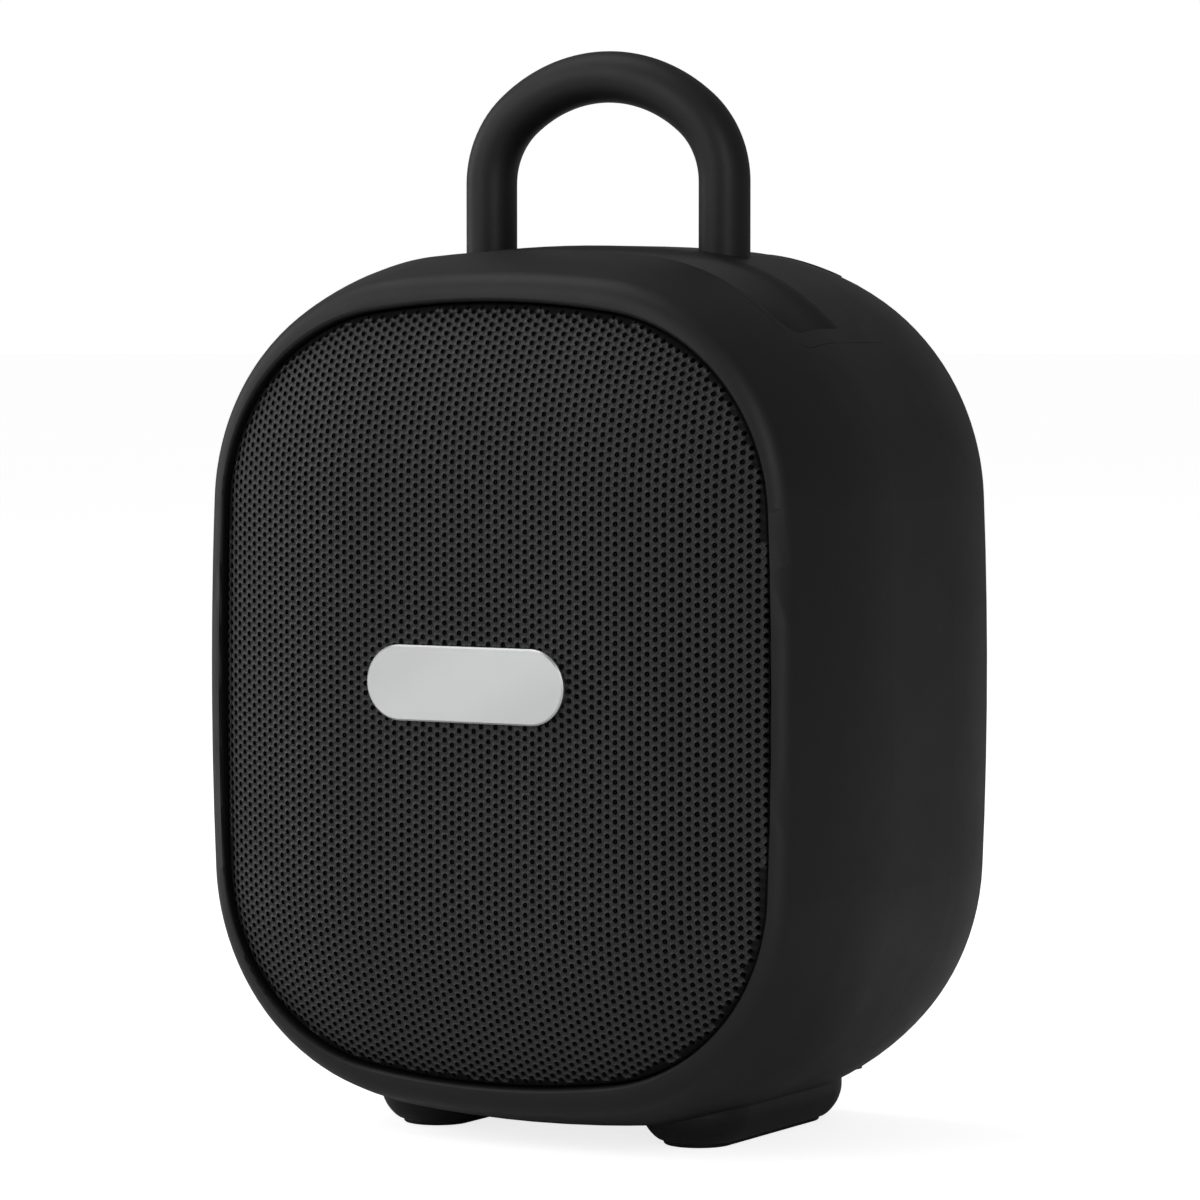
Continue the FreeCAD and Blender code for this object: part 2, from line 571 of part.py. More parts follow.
# ================================================================ grille and badge
def crown(shift):
    """Solid bounded in front by the grille's crowned surface, moved back by shift."""
    big, small = crown_radius(), edge_radius()
    crest = GRILLE_CREST_Y + shift
    inset = CROWN_SPAN + GRILLE_GAP
    knee = arc_points((inset, crest + big), big, 270, 270 - CROWN_KNEE_ANGLE)
    angle = math.radians(270 - CROWN_KNEE_ANGLE)
    centre = (knee[2][0] - small * math.cos(angle), knee[2][1] - small * math.sin(angle))
    edge = arc_points(centre, small, 270 - CROWN_KNEE_ANGLE, 270 - CROWN_EDGE_ANGLE)
    return skin(OPENING, [knee, edge, (edge[2], (edge[2][0], BAFFLE_FRONT))])


def grille():
    """Crowned sheet with a turned-back edge that stands on the baffle."""
    hollow = crown(GRILLE_SHEET).common(plate(OPENING, GRILLE_GAP + GRILLE_SHEET, -20, BAFFLE_FRONT))
    return crown(0.0).cut(hollow)


def grille_cloth():
    """Thin cloth stuck to the back of the grille."""
    cloth = crown(GRILLE_SHEET).cut(crown(GRILLE_SHEET + CLOTH_THICKNESS))
    return cloth.common(plate(OPENING, GRILLE_GAP + 2 * GRILLE_SHEET, -20, BAFFLE_FRONT))


def badge():
    """Plain stadium plate with a bevelled front edge."""
    body = prism_y(0, BADGE_Z, BADGE_WIDTH, BADGE_HEIGHT, BADGE_HEIGHT / 2, FRONT_Y, BADGE_BACK_Y)
    front = [e for e in body.Edges if e.BoundBox.YMax < FRONT_Y + 0.01]
    return body.makeChamfer(BADGE_BEVEL, front)


def badge_adhesive():
    """Adhesive pad between the badge and the grille."""
    width, height = BADGE_WIDTH - 1.2, BADGE_HEIGHT - 1.2
    return prism_y(0, BADGE_Z, width, height, height / 2, BADGE_BACK_Y, GRILLE_CREST_Y)


# ================================================================ driver
FLANGE_BACK = BAFFLE_FRONT - GASKET_THICKNESS
FLANGE_FRONT = FLANGE_BACK - FRAME_FLANGE
SHELF_Y = FLANGE_FRONT + SHELF_DEPTH
FLOOR_Y = FLANGE_FRONT + FLOOR_DEPTH
TOP_PLATE_Y = FLOOR_Y + FLOOR_THICKNESS
MAGNET_Y = TOP_PLATE_Y + PLATE_THICKNESS
YOKE_Y = MAGNET_Y + MAGNET_THICKNESS
FORMER_R = COIL_R + COIL_WALL


def driver_screw_places():
    """Centres of the four screws round the driver."""
    reach = DRIVER_SCREW_R / math.sqrt(2)
    return [(sx * reach, DRIVER_Z + sz * reach) for sx in (-1, 1) for sz in (-1, 1)]


def driver_gasket():
    """Foam ring under the driver's flange."""
    ring = ring_y(0, DRIVER_Z, FRAME_R, BASKET_R + 0.5, FLANGE_BACK, BAFFLE_FRONT)
    return ring.cut([rod_y(x, z, SMALL_SCREW_R + THREAD_GAP, 0, 20) for x, z in driver_screw_places()])


def driver_frame():
    """Pressed frame: flange, open basket, spider shelf and floor."""
    wall = BASKET_R - FLANGE_HOLE_R
    points = [
        (FRAME_R, FLANGE_FRONT), (FRAME_R, FLANGE_BACK), (BASKET_R, FLANGE_BACK),
        (BASKET_R, BAFFLE_BACK + 0.5),
        (MAGNET_R - 0.5, SHELF_Y + 4.5), (MAGNET_R - 0.5, TOP_PLATE_Y), (FORMER_R + 1.5, TOP_PLATE_Y),
        (FORMER_R + 1.5, FLOOR_Y), (SHELF_R, FLOOR_Y), (SHELF_R, SHELF_Y), (SHELF_R + 4.1, SHELF_Y),
        (BASKET_R - wall, BAFFLE_BACK - 0.5), (BASKET_R - wall, FLANGE_FRONT),
    ]
    frame = turned_y(0, DRIVER_Z, polygon(points))
    cuts = [rod_y(x, z, SMALL_SCREW_R + SCREW_GAP, 0, 20) for x, z in driver_screw_places()]
    for n in range(FRAME_WINDOWS):
        window = box(-6.0, 6.0, BAFFLE_BACK + 0.8, SHELF_Y - 0.8, SHELF_R + 1, FRAME_R)
        window.translate(Vector(0, 0, DRIVER_Z))
        window.rotate(Vector(0, 0, DRIVER_Z), Vector(0, 1, 0), 360 * n / FRAME_WINDOWS)
        cuts.append(window)
    return frame.cut(cuts)


def driver_screws():
    """Four screws through the flange into the baffle."""
    return [
        screw_y(x, z, FLANGE_FRONT, BAFFLE_BACK, SMALL_HEAD_R - 0.1, SMALL_HEAD, SMALL_SCREW_R)
        for x, z in driver_screw_places()
    ]


def roll_profile(lip_outer, roll_centre, lip_inner, radius, back):
    """Section of a rubber surround: outer lip, half roll standing forwards, inner lip."""
    front = back - ROLL_SHEET
    reach = math.sqrt(radius**2 - ROLL_SHEET**2)
    inner = radius - ROLL_SHEET
    outside = ((roll_centre + reach, front), (roll_centre, back - radius), (roll_centre - reach, front))
    inside = ((roll_centre - inner, back), (roll_centre, back - inner), (roll_centre + inner, back))
    return [
        ((lip_outer, back), (lip_outer, front)), ((lip_outer, front), outside[0]), outside,
        (outside[2], (lip_inner, front)), ((lip_inner, front), (lip_inner, back)),
        ((lip_inner, back), inside[0]), inside, (inside[2], (lip_outer, back)),
    ]


def driver_surround():
    """Half-roll rubber ring that hangs the cone from the flange."""
    centre = CONE_R + ROLL_R - 0.2
    profile = roll_profile(FLANGE_HOLE_R + 2.0, centre, CONE_R - 1.4, ROLL_R, FLANGE_FRONT)
    return turned_y(0, DRIVER_Z, profile)


def cone_surface(r):
    """Depth of the cone's front face at radius r."""
    slope = CONE_NECK_DEPTH / (CONE_R - 1.5 - FORMER_R)
    return FLANGE_FRONT + slope * (CONE_R - 1.5 - r)


def driver_cone():
    """Paper cone with a flat lip."""
    lip = CONE_R - 1.5
    points = [
        (CONE_R, FLANGE_FRONT), (CONE_R, FLANGE_FRONT + CONE_SHEET), (lip + 0.3, FLANGE_FRONT + CONE_SHEET),
        (FORMER_R, cone_surface(FORMER_R) + 0.8), (FORMER_R, cone_surface(FORMER_R)), (lip, FLANGE_FRONT),
    ]
    return turned_y(0, DRIVER_Z, polygon(points))


def dome(radius, rise, edge_y):
    """Three points of a shallow dome's section, from its crest to its edge."""
    r = (radius**2 + rise**2) / (2 * rise)
    half = math.asin(radius / r) / 2
    middle = (r * math.sin(half), edge_y - rise + r * (1 - math.cos(half)))
    return ((0.0, edge_y - rise), middle, (radius, edge_y))


def dust_cap():
    """Dome glued over the voice coil."""
    outside = dome(DUST_CAP_R, DUST_CAP_RISE, cone_surface(DUST_CAP_R) - 0.02)
    inner_r = DUST_CAP_R - 0.6
    inside = dome(inner_r, DUST_CAP_RISE - 0.2, cone_surface(inner_r) - 0.06)
    profile = [outside, (outside[2], inside[2]), inside[::-1], (inside[0], outside[0])]
    return turned_y(0, DRIVER_Z, profile)


def voice_coil():
    """Former and winding, glued into the cone's neck."""
    start = cone_surface(FORMER_R) - 0.6
    return ring_y(0, DRIVER_Z, FORMER_R, COIL_R, start, start + COIL_LENGTH)


def driver_spider():
    """Corrugated ring that centres the voice coil on the shelf."""
    back = [(SHELF_R + 3.9, 0.0), (SHELF_R, 0.0)]
    waves = [(SHELF_R - 1.2 - 1.5 * n, 0.5 if n % 2 else -0.5) for n in range(6)]
    back += waves + [(FORMER_R, 0.0)]
    front = [(r, y - 0.4) for r, y in reversed(back)]
    return turned_y(0, DRIVER_Z, polygon([(r, SHELF_Y + y) for r, y in back + front]))


def driver_top_plate():
    """Steel ring round the magnetic gap."""
    return ring_y(0, DRIVER_Z, PLATE_R, FORMER_R + COIL_GAP, TOP_PLATE_Y, MAGNET_Y)


def driver_magnet():
    """Ferrite ring."""
    return ring_y(0, DRIVER_Z, MAGNET_R, MAGNET_HOLE_R, MAGNET_Y, YOKE_Y)


def driver_yoke():
    """Back plate with the pole that stands in the coil."""
    disc = rod_y(0, DRIVER_Z, PLATE_R, YOKE_Y, YOKE_Y + PLATE_THICKNESS)
    return fuse([disc, rod_y(0, DRIVER_Z, COIL_R - COIL_GAP, TOP_PLATE_Y, YOKE_Y + 1)])


# ================================================================ passive radiator
RADIATOR_END_X = (RADIATOR_WIDTH - RADIATOR_HEIGHT) / 2
RADIATOR_R = RADIATOR_HEIGHT / 2
RING_FRONT = BAFFLE_FRONT - RADIATOR_RING
RADIATOR_ROLL_CENTRE = RADIATOR_R - RADIATOR_BORDER - RADIATOR_ROLL_R
RADIATOR_PLATE_R = RADIATOR_ROLL_CENTRE - RADIATOR_ROLL_R + 0.3


def oval(radius, y0, y1):
    """Stadium block on the radiator's centre, radius from its long axis."""
    return prism_y(0, RADIATOR_Z, 2 * (RADIATOR_END_X + radius), 2 * radius, radius, y0, y1)


def radiator_hole():
    """Opening in the baffle behind the radiator."""
    return oval(RADIATOR_R - RADIATOR_BORDER + 0.5, 0, BAFFLE_BACK + 1)


def radiator_ring():
    """Stiff oval ring glued to the baffle."""
    return oval(RADIATOR_R, RING_FRONT, BAFFLE_FRONT).cut(oval(RADIATOR_R - RADIATOR_BORDER, 0, 20))


def radiator_surround():
    """Half roll that hangs the plate from the ring."""
    outer, inner = RADIATOR_R - 0.8, RADIATOR_PLATE_R - 1.6
    profile = roll_profile(outer, RADIATOR_ROLL_CENTRE, inner, RADIATOR_ROLL_R, RING_FRONT)
    whole = turned_y(RADIATOR_END_X, RADIATOR_Z, profile)
    end = whole.common(box(RADIATOR_END_X, 200, -50, 50, -100, 100))
    edges = [
        (Part.Arc(*[Vector(0, y, RADIATOR_Z + r) for r, y in p]).toShape() if len(p) == 3
         else Part.makeLine(*[Vector(0, y, RADIATOR_Z + r) for r, y in p]))
        for p in profile
    ]
    run = Part.Face(Part.Wire(edges)).extrude(Vector(RADIATOR_END_X, 0, 0))
    lower = run.mirror(Vector(0, 0, RADIATOR_Z), Vector(0, 0, 1))
    return fuse(both_sides([end, run, lower]))


def radiator_plate():
    """Stiff weighted plate in the middle of the radiator."""
    weight = oval(RADIATOR_PLATE_R - 2.4, RING_FRONT + RADIATOR_PLATE, RING_FRONT + RADIATOR_PLATE + 2.5)
    return fuse([oval(RADIATOR_PLATE_R, RING_FRONT, RING_FRONT + RADIATOR_PLATE), weight])


# ================================================================ control panel
def floor_z(x):
    """Height of the trough's floor at x."""
    return surface_z(CASE, x, TROUGH_DEPTH)


def groove(profile):
    """What lies outside a profile of (inset, depth) lines and arcs, over the top of the case."""
    y0, y1 = profile[0][0][1], profile[-1][-1][1]
    ring = plate(CASE, -TROUGH_ABOVE, y0, y1).cut(skin(CASE, profile))
    return ring.common(box(-60, 60, -10, 80, 30, 110))


def trough_floor_ends():
    """Depths between which the trough's floor is flat."""
    start = TROUGH_FRONT_Y + TROUGH_FILLET
    return start, start + TROUGH_FLAT


def trough_cutter():
    """Solid that hollows the trough: steep front wall, flat floor, ramp and soft rear crest."""
    slope = math.radians(TROUGH_SLOPE)
    y1, y2 = trough_floor_ends()
    toe = arc_points((TROUGH_DEPTH - TROUGH_FILLET, y1), TROUGH_FILLET, 270, 360)
    hollow = arc_points((TROUGH_DEPTH - TROUGH_HOLLOW_R, y2), TROUGH_HOLLOW_R, 0, TROUGH_SLOPE)
    foot = hollow[2]
    middle = TROUGH_CREST_R - TROUGH_CREST_OVER
    brow = middle - TROUGH_CREST_R * math.cos(slope)
    brow_y = foot[1] + (foot[0] - brow) / math.tan(slope)
    centre = (middle, brow_y + TROUGH_CREST_R * math.sin(slope))
    crest = arc_points(centre, TROUGH_CREST_R, 180 + TROUGH_SLOPE, 180)
    end = crest[2]
    profile = [
        ((-TROUGH_ABOVE, TROUGH_FRONT_Y), toe[0]), toe, (toe[2], hollow[0]), hollow,
        (foot, crest[0]), crest,
        (end, (-TROUGH_ABOVE, end[1])),
    ]
    length = 2 * end[1]
    ends = prism_z(
        0, TROUGH_FRONT_Y + length / 2, 2 * TROUGH_HALF_LENGTH, length, TROUGH_CORNER_R, 30, CASE_TOP + 10,
    )
    return groove(profile).common(ends)


def trough_tub():
    """Block that the trough is hollowed from, before it is trimmed to the case's skin."""
    y, bottom = PANEL_FRONT_Y, TROUGH_DEPTH + TROUGH_WALL
    floor_end = trough_floor_ends()[1]
    points = [
        (-TROUGH_ABOVE, y), (bottom - 1.5, y), (bottom, y + 1.5), (bottom, floor_end + 0.7),
        (bottom - 2.2, floor_end + 5.0), (bottom - 5.2, floor_end + 7.6), (-TROUGH_ABOVE, floor_end + 7.6),
    ]
    return groove(list(zip(points, points[1:])))


def button_x(n):
    """Place of a button along the trough."""
    return (n - (len(BUTTON_NAMES) - 1) / 2) * BUTTON_PITCH


def flange_foot(n):
    """Height of the underside of a button's flange."""
    edge = abs(button_x(n)) + BUTTON_WIDTH / 2 + BUTTON_FLANGE_RIM
    return floor_z(edge) - TROUGH_WALL - BUTTON_GAP - BUTTON_FLANGE


def key_board_top():
    """Height of the key board's upper face, set by the end button, which stands lowest."""
    return flange_foot(0) - SHORT_STEM - STEM_GAP - PLUNGER_HEIGHT - SWITCH_HEIGHT


def loop_foot_top():
    """Height of the upper face of the loop's feet."""
    return surface_z(CASE, LOOP_HALF_SPAN + LOOP_FOOT_R) - WALL - 0.4


def panel_posts():
    """Bosses and collars under the panel: for its own screws, the key board and the loop."""
    top = CASE_TOP
    foot = loop_foot_top()
    posts = both_sides([rod_z(PANEL_SCREW_X, PANEL_SCREW_Y, PANEL_BOSS_R, panel_boss_foot(), top)])
    posts += [rod_z(x, BOARD_BOSS_Y, PANEL_BOSS_R - 0.5, key_board_top(), top) for x in BOARD_BOSSES]
    clamp_top = foot - LOOP_FOOT_THICKNESS
    posts += [rod_z(x, LOOP_Y, PANEL_BOSS_R, clamp_top, top) for x in CLAMP_SCREWS]
    posts += both_sides([rod_z(LOOP_HALF_SPAN, LOOP_Y, LOOP_FOOT_R, foot, top)])
    return posts


def panel_holes():
    """Holes through the panel for the loop, the screws, the buttons and the light."""
    foot = loop_foot_top()
    loop_r = LOOP_R + 0.05
    thread = SMALL_SCREW_R + THREAD_GAP
    holes = both_sides([rod_z(LOOP_HALF_SPAN, LOOP_Y, loop_r, foot - 5, CASE_TOP + 5)])
    low, board = panel_boss_foot(), key_board_top()
    holes += both_sides([rod_z(PANEL_SCREW_X, PANEL_SCREW_Y, thread, low - 1, low + 5.5)])
    holes += [rod_z(x, BOARD_BOSS_Y, thread, board - 1, board + 5.5) for x in BOARD_BOSSES]
    clamp_top = foot - LOOP_FOOT_THICKNESS
    holes += [rod_z(x, LOOP_Y, thread, clamp_top - 1, clamp_top + 4.0) for x in CLAMP_SCREWS]
    for n in range(len(BUTTON_NAMES)):
        holes.append(button_prism(n, BUTTON_GAP, switch_top(), CASE_TOP + 5))
    holes.append(rod_z(LIGHT_X, BUTTON_Y, LIGHT_R + THREAD_GAP, 30, CASE_TOP + 5))
    return holes


def top_panel(outer, inner):
    """Inset control panel with its trough, sleeves and bosses."""
    zone = panel_zone()
    wall = outer.common(zone).cut(inner)
    tub = trough_tub().common(zone).common(outer)
    posts = [post.common(zone).common(outer) for post in panel_posts()]
    return wall.fuse([tub] + posts).cut([trough_cutter()] + panel_holes())


def panel_screws():
    """Screws that hold the panel down to the ears behind the baffle."""
    x, y, z = PANEL_SCREW_X, PANEL_SCREW_Y, panel_boss_foot()
    return both_sides([
        screw_z(x, y, z - LUG_THICKNESS, z + 5.0, SMALL_HEAD_R, SMALL_HEAD, SMALL_SCREW_R)
    ])


def button_prism(n, rim, z0, z1):
    """Upright block of a button's outline, grown by rim."""
    width, length = BUTTON_WIDTH + 2 * rim, BUTTON_LENGTH + 2 * rim
    return prism_z(button_x(n), BUTTON_Y, width, length, BUTTON_CORNER_R + rim, z0, z1)


def under_floor(drop):
    """Everything below the trough's floor, less drop."""
    return plate(CASE, TROUGH_DEPTH + drop, 0, 60)


def button(n):
    """Key cap that follows the trough's floor, with a retaining flange and a stem."""
    cap_top = under_floor(-BUTTON_PROUD)
    flange_z = flange_foot(n)
    cap = button_prism(n, 0.0, flange_z, CASE_TOP).common(cap_top)
    flange_top = under_floor(TROUGH_WALL + BUTTON_GAP)
    flange = button_prism(n, BUTTON_FLANGE_RIM, flange_z, CASE_TOP).common(flange_top)
    stem = rod_z(button_x(n), BUTTON_Y, STEM_R, switch_top() + STEM_GAP, flange_z + 0.2)
    return fuse([cap, flange, stem])


def switch_top():
    """Height of the switches' plungers."""
    return key_board_top() + SWITCH_HEIGHT + PLUNGER_HEIGHT


def key_switches():
    """One switch under each button."""
    switches = []
    for n in range(len(BUTTON_NAMES)):
        top = key_board_top() + SWITCH_HEIGHT
        body = prism_z(button_x(n), BUTTON_Y, SWITCH_BODY, SWITCH_BODY, 0.3, key_board_top(), top)
        switches.append(fuse([body, rod_z(button_x(n), BUTTON_Y, PLUNGER_R, top - 0.2, switch_top())]))
    return switches


def key_board():
    """Circuit board under the trough."""
    width = 2 * (BUTTON_PITCH * 2 + SWITCH_BODY)
    front, back = BUTTON_Y - SWITCH_BODY / 2 - 0.6, BOARD_BOSS_Y + PANEL_BOSS_R
    z0 = key_board_top() - KEY_BOARD_THICKNESS
    board = prism_z(0, (front + back) / 2, width, back - front, 1.0, z0, key_board_top())
    return board.cut([rod_z(x, BOARD_BOSS_Y, SMALL_SCREW_R + SCREW_GAP, 0, 100) for x in BOARD_BOSSES])


def key_board_screws():
    """Screws that hold the key board up to the panel's bosses."""
    z = key_board_top() - KEY_BOARD_THICKNESS
    head, r = SMALL_HEAD_R, SMALL_SCREW_R
    return [screw_z(x, BOARD_BOSS_Y, z, z + CAP_SCREW_LENGTH, head, SMALL_HEAD, r) for x in BOARD_BOSSES]


def status_light():
    """Light guide from the key board to the trough's floor."""
    return rod_z(LIGHT_X, BUTTON_Y, LIGHT_R, key_board_top() + 0.1, CASE_TOP).common(under_floor(0.0))


# ================================================================ carrying loop
def loop_arches():
    """Centre, radius, start and end angle of the three tangent arcs of the loop's arch."""
    a, b, angle = LOOP_HALF_SPAN, LOOP_RISE, math.radians(LOOP_ARC_ANGLE)
    k = (1 - math.sin(angle)) / math.cos(angle)
    small = (b - k * a) / (1 - k)
    big = small + (a - small) / math.cos(angle)
    turn = LOOP_ARC_ANGLE
    return [
        (a - small, 0.0, small, 0.0, turn),
        (0.0, b - big, big, turn, 180.0 - turn),
        (small - a, 0.0, small, 180.0 - turn, 180.0),
    ]


def handle_loop():
    """Round-section loop whose legs run down through the panel to two capture feet."""
    foot = loop_foot_top()
    parts = both_sides([
        rod_z(LOOP_HALF_SPAN, LOOP_Y, LOOP_R, foot - LOOP_FOOT_THICKNESS, LOOP_SPRING_Z),
        rod_z(LOOP_HALF_SPAN, LOOP_Y, LOOP_FOOT_R, foot - LOOP_FOOT_THICKNESS, foot),
    ])
    for cx, cz, radius, start, end in loop_arches():
        a = math.radians(start)
        centre = Vector(cx, LOOP_Y, LOOP_SPRING_Z + cz)
        at = centre + Vector(radius * math.cos(a), 0, radius * math.sin(a))
        circle = Part.makeCircle(LOOP_R, at, Vector(-math.sin(a), 0, math.cos(a)))
        face = Part.Face(Part.Wire(circle))
        parts.append(face.revolve(centre, Vector(0, -1, 0), end - start))
    return fuse(parts)


def clamp_z():
    """Height of the clamp's upper face."""
    return loop_foot_top() - LOOP_FOOT_THICKNESS


def handle_clamp():
    """Plate that holds the loop's feet up against the panel's collars."""
    plate_z = clamp_z() - CLAMP_THICKNESS
    clamp = prism_z(0, LOOP_Y, CLAMP_WIDTH, CLAMP_LENGTH, 3.0, plate_z, clamp_z())
    return clamp.cut([rod_z(x, LOOP_Y, SMALL_SCREW_R + SCREW_GAP, 0, 100) for x in CLAMP_SCREWS])


def handle_screws():
    """Screws through the clamp into the panel's bosses."""
    z = clamp_z() - CLAMP_THICKNESS
    head, r = SMALL_HEAD_R, SMALL_SCREW_R
    return [screw_z(x, LOOP_Y, z, z + CAP_SCREW_LENGTH, head, SMALL_HEAD, r) for x in CLAMP_SCREWS]


# ================================================================ rear ports
def bay_floor():
    """Depth of the floor of the port bay."""
    return CASE_DEPTH - COVER_THICKNESS - COVER_GAP


def hinge_place():
    """Depth and height of the cover's hinge axis."""
    bottom = BAY_Z + BAY_HEIGHT / 2 - COVER_GAP - COVER_HEIGHT
    return CASE_DEPTH - COVER_THICKNESS / 2, bottom + COVER_THICKNESS / 2


def port_cover():
    """Rubber flap with a rolled lower edge, a finger lip and a plug for the charging socket."""
    hinge_y, hinge_z = hinge_place()
    width = BAY_WIDTH - 2 * COVER_GAP
    top = BAY_Z + BAY_HEIGHT / 2 - COVER_GAP
    r = COVER_THICKNESS / 2
    front, corner, half = CASE_DEPTH - COVER_THICKNESS, BAY_CORNER_R - COVER_GAP, width / 2 - BAY_CORNER_R
    flap = prism_y(0, (top + hinge_z) / 2, width, top - hinge_z, corner, front, CASE_DEPTH)
    square = box(-half, half, front, CASE_DEPTH, hinge_z, hinge_z + BAY_CORNER_R + 1)
    bead = rod_x(hinge_y, hinge_z, r, -half, half)
    usb = usb_opening(-PLUG_GAP, bay_floor() - PLUG_LENGTH, CASE_DEPTH - 0.5)
    nail = prism_y(0, top - 0.9, 12.0, 1.2, 0.6, CASE_DEPTH - 0.5, CASE_DEPTH + 1)
    return fuse([flap, square, bead, usb]).cut(nail)


def port_cover_anchor():
    """Rubber strip below the flap with two feet pressed into the rear shell."""
    hinge_z = hinge_place()[1]
    bottom = BAY_Z - BAY_HEIGHT / 2
    top = hinge_z - COVER_THICKNESS / 2 - COVER_GAP
    width = BAY_WIDTH - 2 * BAY_CORNER_R
    strip = box(-width / 2, width / 2, bay_floor(), CASE_DEPTH - 0.4, bottom + 0.05, top)
    return fuse([strip] + anchor_pins((bottom + top) / 2, 0.0, 2.2, 0.5))


def anchor_pins(z, rim, below, above):
    """Flat pins of the anchor at height z, grown by rim, from below to above the bay's floor."""
    width, height, floor = ANCHOR_WIDTH + 2 * rim, ANCHOR_THICKNESS + 2 * rim, bay_floor()
    return [prism_y(x, z, width, height, 0.4 + rim, floor - below, floor + above) for x in ANCHOR_SLOTS]


def anchor_slots():
    """Slots in the bay's floor for the anchor's feet."""
    hinge_z = hinge_place()[1]
    z = (BAY_Z - BAY_HEIGHT / 2 + hinge_z - COVER_THICKNESS / 2 - COVER_GAP) / 2
    return anchor_pins(z, ANCHOR_FIT, 3.0, 0.1)


def usb_z():
    """Height of the middle of the charging socket."""
    return BOARD_TOP + USB_HEIGHT / 2


def jack_z():
    """Height of the audio jack's axis."""
    return BOARD_TOP + JACK_BODY_HEIGHT / 2


def usb_opening(rim, y0, y1):
    """Block of the charging socket's mouth, grown by rim."""
    width, height = USB_WIDTH - 2 * USB_WALL + 2 * rim, USB_HEIGHT - 2 * USB_WALL + 2 * rim
    return prism_y(USB_X, usb_z(), width, height, height / 2, y0, y1)


def port_holes():
    """Holes through the bay's floor for the two sockets."""
    mouth = usb_opening(USB_WALL + 0.1, 55, bay_floor() + 1)
    return [mouth, rod_y(JACK_X, jack_z(), JACK_BORE_R + 1.2, 55, bay_floor() + 1)]


def usb_c_socket():
    """Charging socket: oval shell with its tongue."""
    back, front = BOARD_BACK_Y - 5.4, BOARD_BACK_Y - 5.4 + USB_LENGTH
    shell = prism_y(USB_X, usb_z(), USB_WIDTH, USB_HEIGHT, USB_HEIGHT / 2, back, front)
    shell = shell.cut(usb_opening(0.0, back + 0.8, front + 1))
    tongue = prism_y(USB_X, usb_z(), 6.6, 0.7, 0.3, back + 0.5, front - 1.0)
    return fuse([shell, tongue])


def audio_jack():
    """Audio socket: square body with a round nose, bored for a 3.5 mm plug."""
    nose = rod_y(JACK_X, jack_z(), JACK_BORE_R + 1.15, BOARD_BACK_Y, bay_floor())
    mouth = bay_floor()
    back = mouth - JACK_BORE_LENGTH - 1.0
    half, top = JACK_BODY_WIDTH / 2, BOARD_TOP + JACK_BODY_HEIGHT
    body = box(JACK_X - half, JACK_X + half, back, BOARD_BACK_Y + 0.3, BOARD_TOP, top)
    return fuse([body, nose]).cut(rod_y(JACK_X, jack_z(), JACK_BORE_R, mouth - JACK_BORE_LENGTH, mouth + 1))


def board_post(y):
    """Post on the rear shell's floor that carries a corner of the main board."""
    z0 = 2.2 - surface_z(CASE, BOARD_SCREW_X)
    return rod_z(BOARD_SCREW_X, y, BOARD_POST_R, z0, BOARD_TOP - BOARD_THICKNESS)


def main_board():
    """Main circuit board lying across the rear shell."""
    length, middle = BOARD_BACK_Y - BOARD_FRONT_Y, (BOARD_BACK_Y + BOARD_FRONT_Y) / 2
    board = prism_z(0, middle, BOARD_WIDTH, length, 1.5, BOARD_TOP - BOARD_THICKNESS, BOARD_TOP)
    hole = SMALL_SCREW_R + SCREW_GAP
    return board.cut(both_sides([rod_z(BOARD_SCREW_X, y, hole, -90, 0) for y in BOARD_SCREW_YS]))


def board_screws():
    """Screws that hold the main board on its posts."""
    return both_sides([
        screw_z(BOARD_SCREW_X, y, BOARD_TOP, BOARD_TOP - 7.0, SMALL_HEAD_R, SMALL_HEAD, SMALL_SCREW_R)
        for y in BOARD_SCREW_YS
    ])


# ================================================================ battery
def cell_zs():
    """Heights of the two cells' axes."""
    return (BATTERY_Z - CELL_PITCH / 2, BATTERY_Z + CELL_PITCH / 2)


def battery_cells():
    """Two round cells with their raised end contacts."""
    cells = []
    for z, way in zip(cell_zs(), (1, -1)):
        can = rod_x(CELL_Y, z, CELL_R, -CELL_LENGTH / 2, CELL_LENGTH / 2)
        tip = CELL_LENGTH / 2 + CELL_CONTACT
        nub = rod_x(CELL_Y, z, 2.8, min(0, way * tip), max(0, way * tip))
        cells.append(fuse([can, nub]))
    return cells


def battery_holder():
    """Ribbed cradle bonded to the inside of the rear shell."""
    back = CASE_DEPTH - WALL
    height = CELL_PITCH + 2 * CELL_R - 2
    base = prism_y(0, BATTERY_Z, 60.0, height, 3.0, back - 2.0, back)
    low, high = BATTERY_Z - height / 2, BATTERY_Z + height / 2
    ribs = [box(x - 2, x + 2, CELL_Y + 2.0, back - 1, low, high) for x in CRADLE_RIBS]
    room = [rod_x(CELL_Y, z, CELL_R + CELL_GAP, -40, 40) for z in cell_zs()]
    return fuse([base] + ribs).cut(room)


def battery_straps():
    """Two bands round both cells."""
    straps = []
    r, half = CELL_R + CELL_GAP, STRAP_WIDTH / 2
    for x in STRAP_XS:
        loops = [
            prism_z(CELL_Y, BATTERY_Z, 2 * grown, 2 * grown + CELL_PITCH, grown, x - half, x + half)
            for grown in (r + STRAP_THICKNESS, r)
        ]
        strap = loops[0].cut(loops[1])
        strap.rotate(Vector(0, 0, 0), Vector(1, 1, 1), 120)
        straps.append(strap)
    return straps


# ================================================================ leads
def driver_leads():
    """Pair from the driver's frame to the main board."""
    top = BOARD_TOP + 0.05
    return lead([
        (17.4, 18.4, -39.4), (20.0, 25.0, -41.5), (21.0, 34.0, -38.5), (21.0, 45.5, -37.0),
        (21.0, 46.5, top),
    ], LEAD_R)


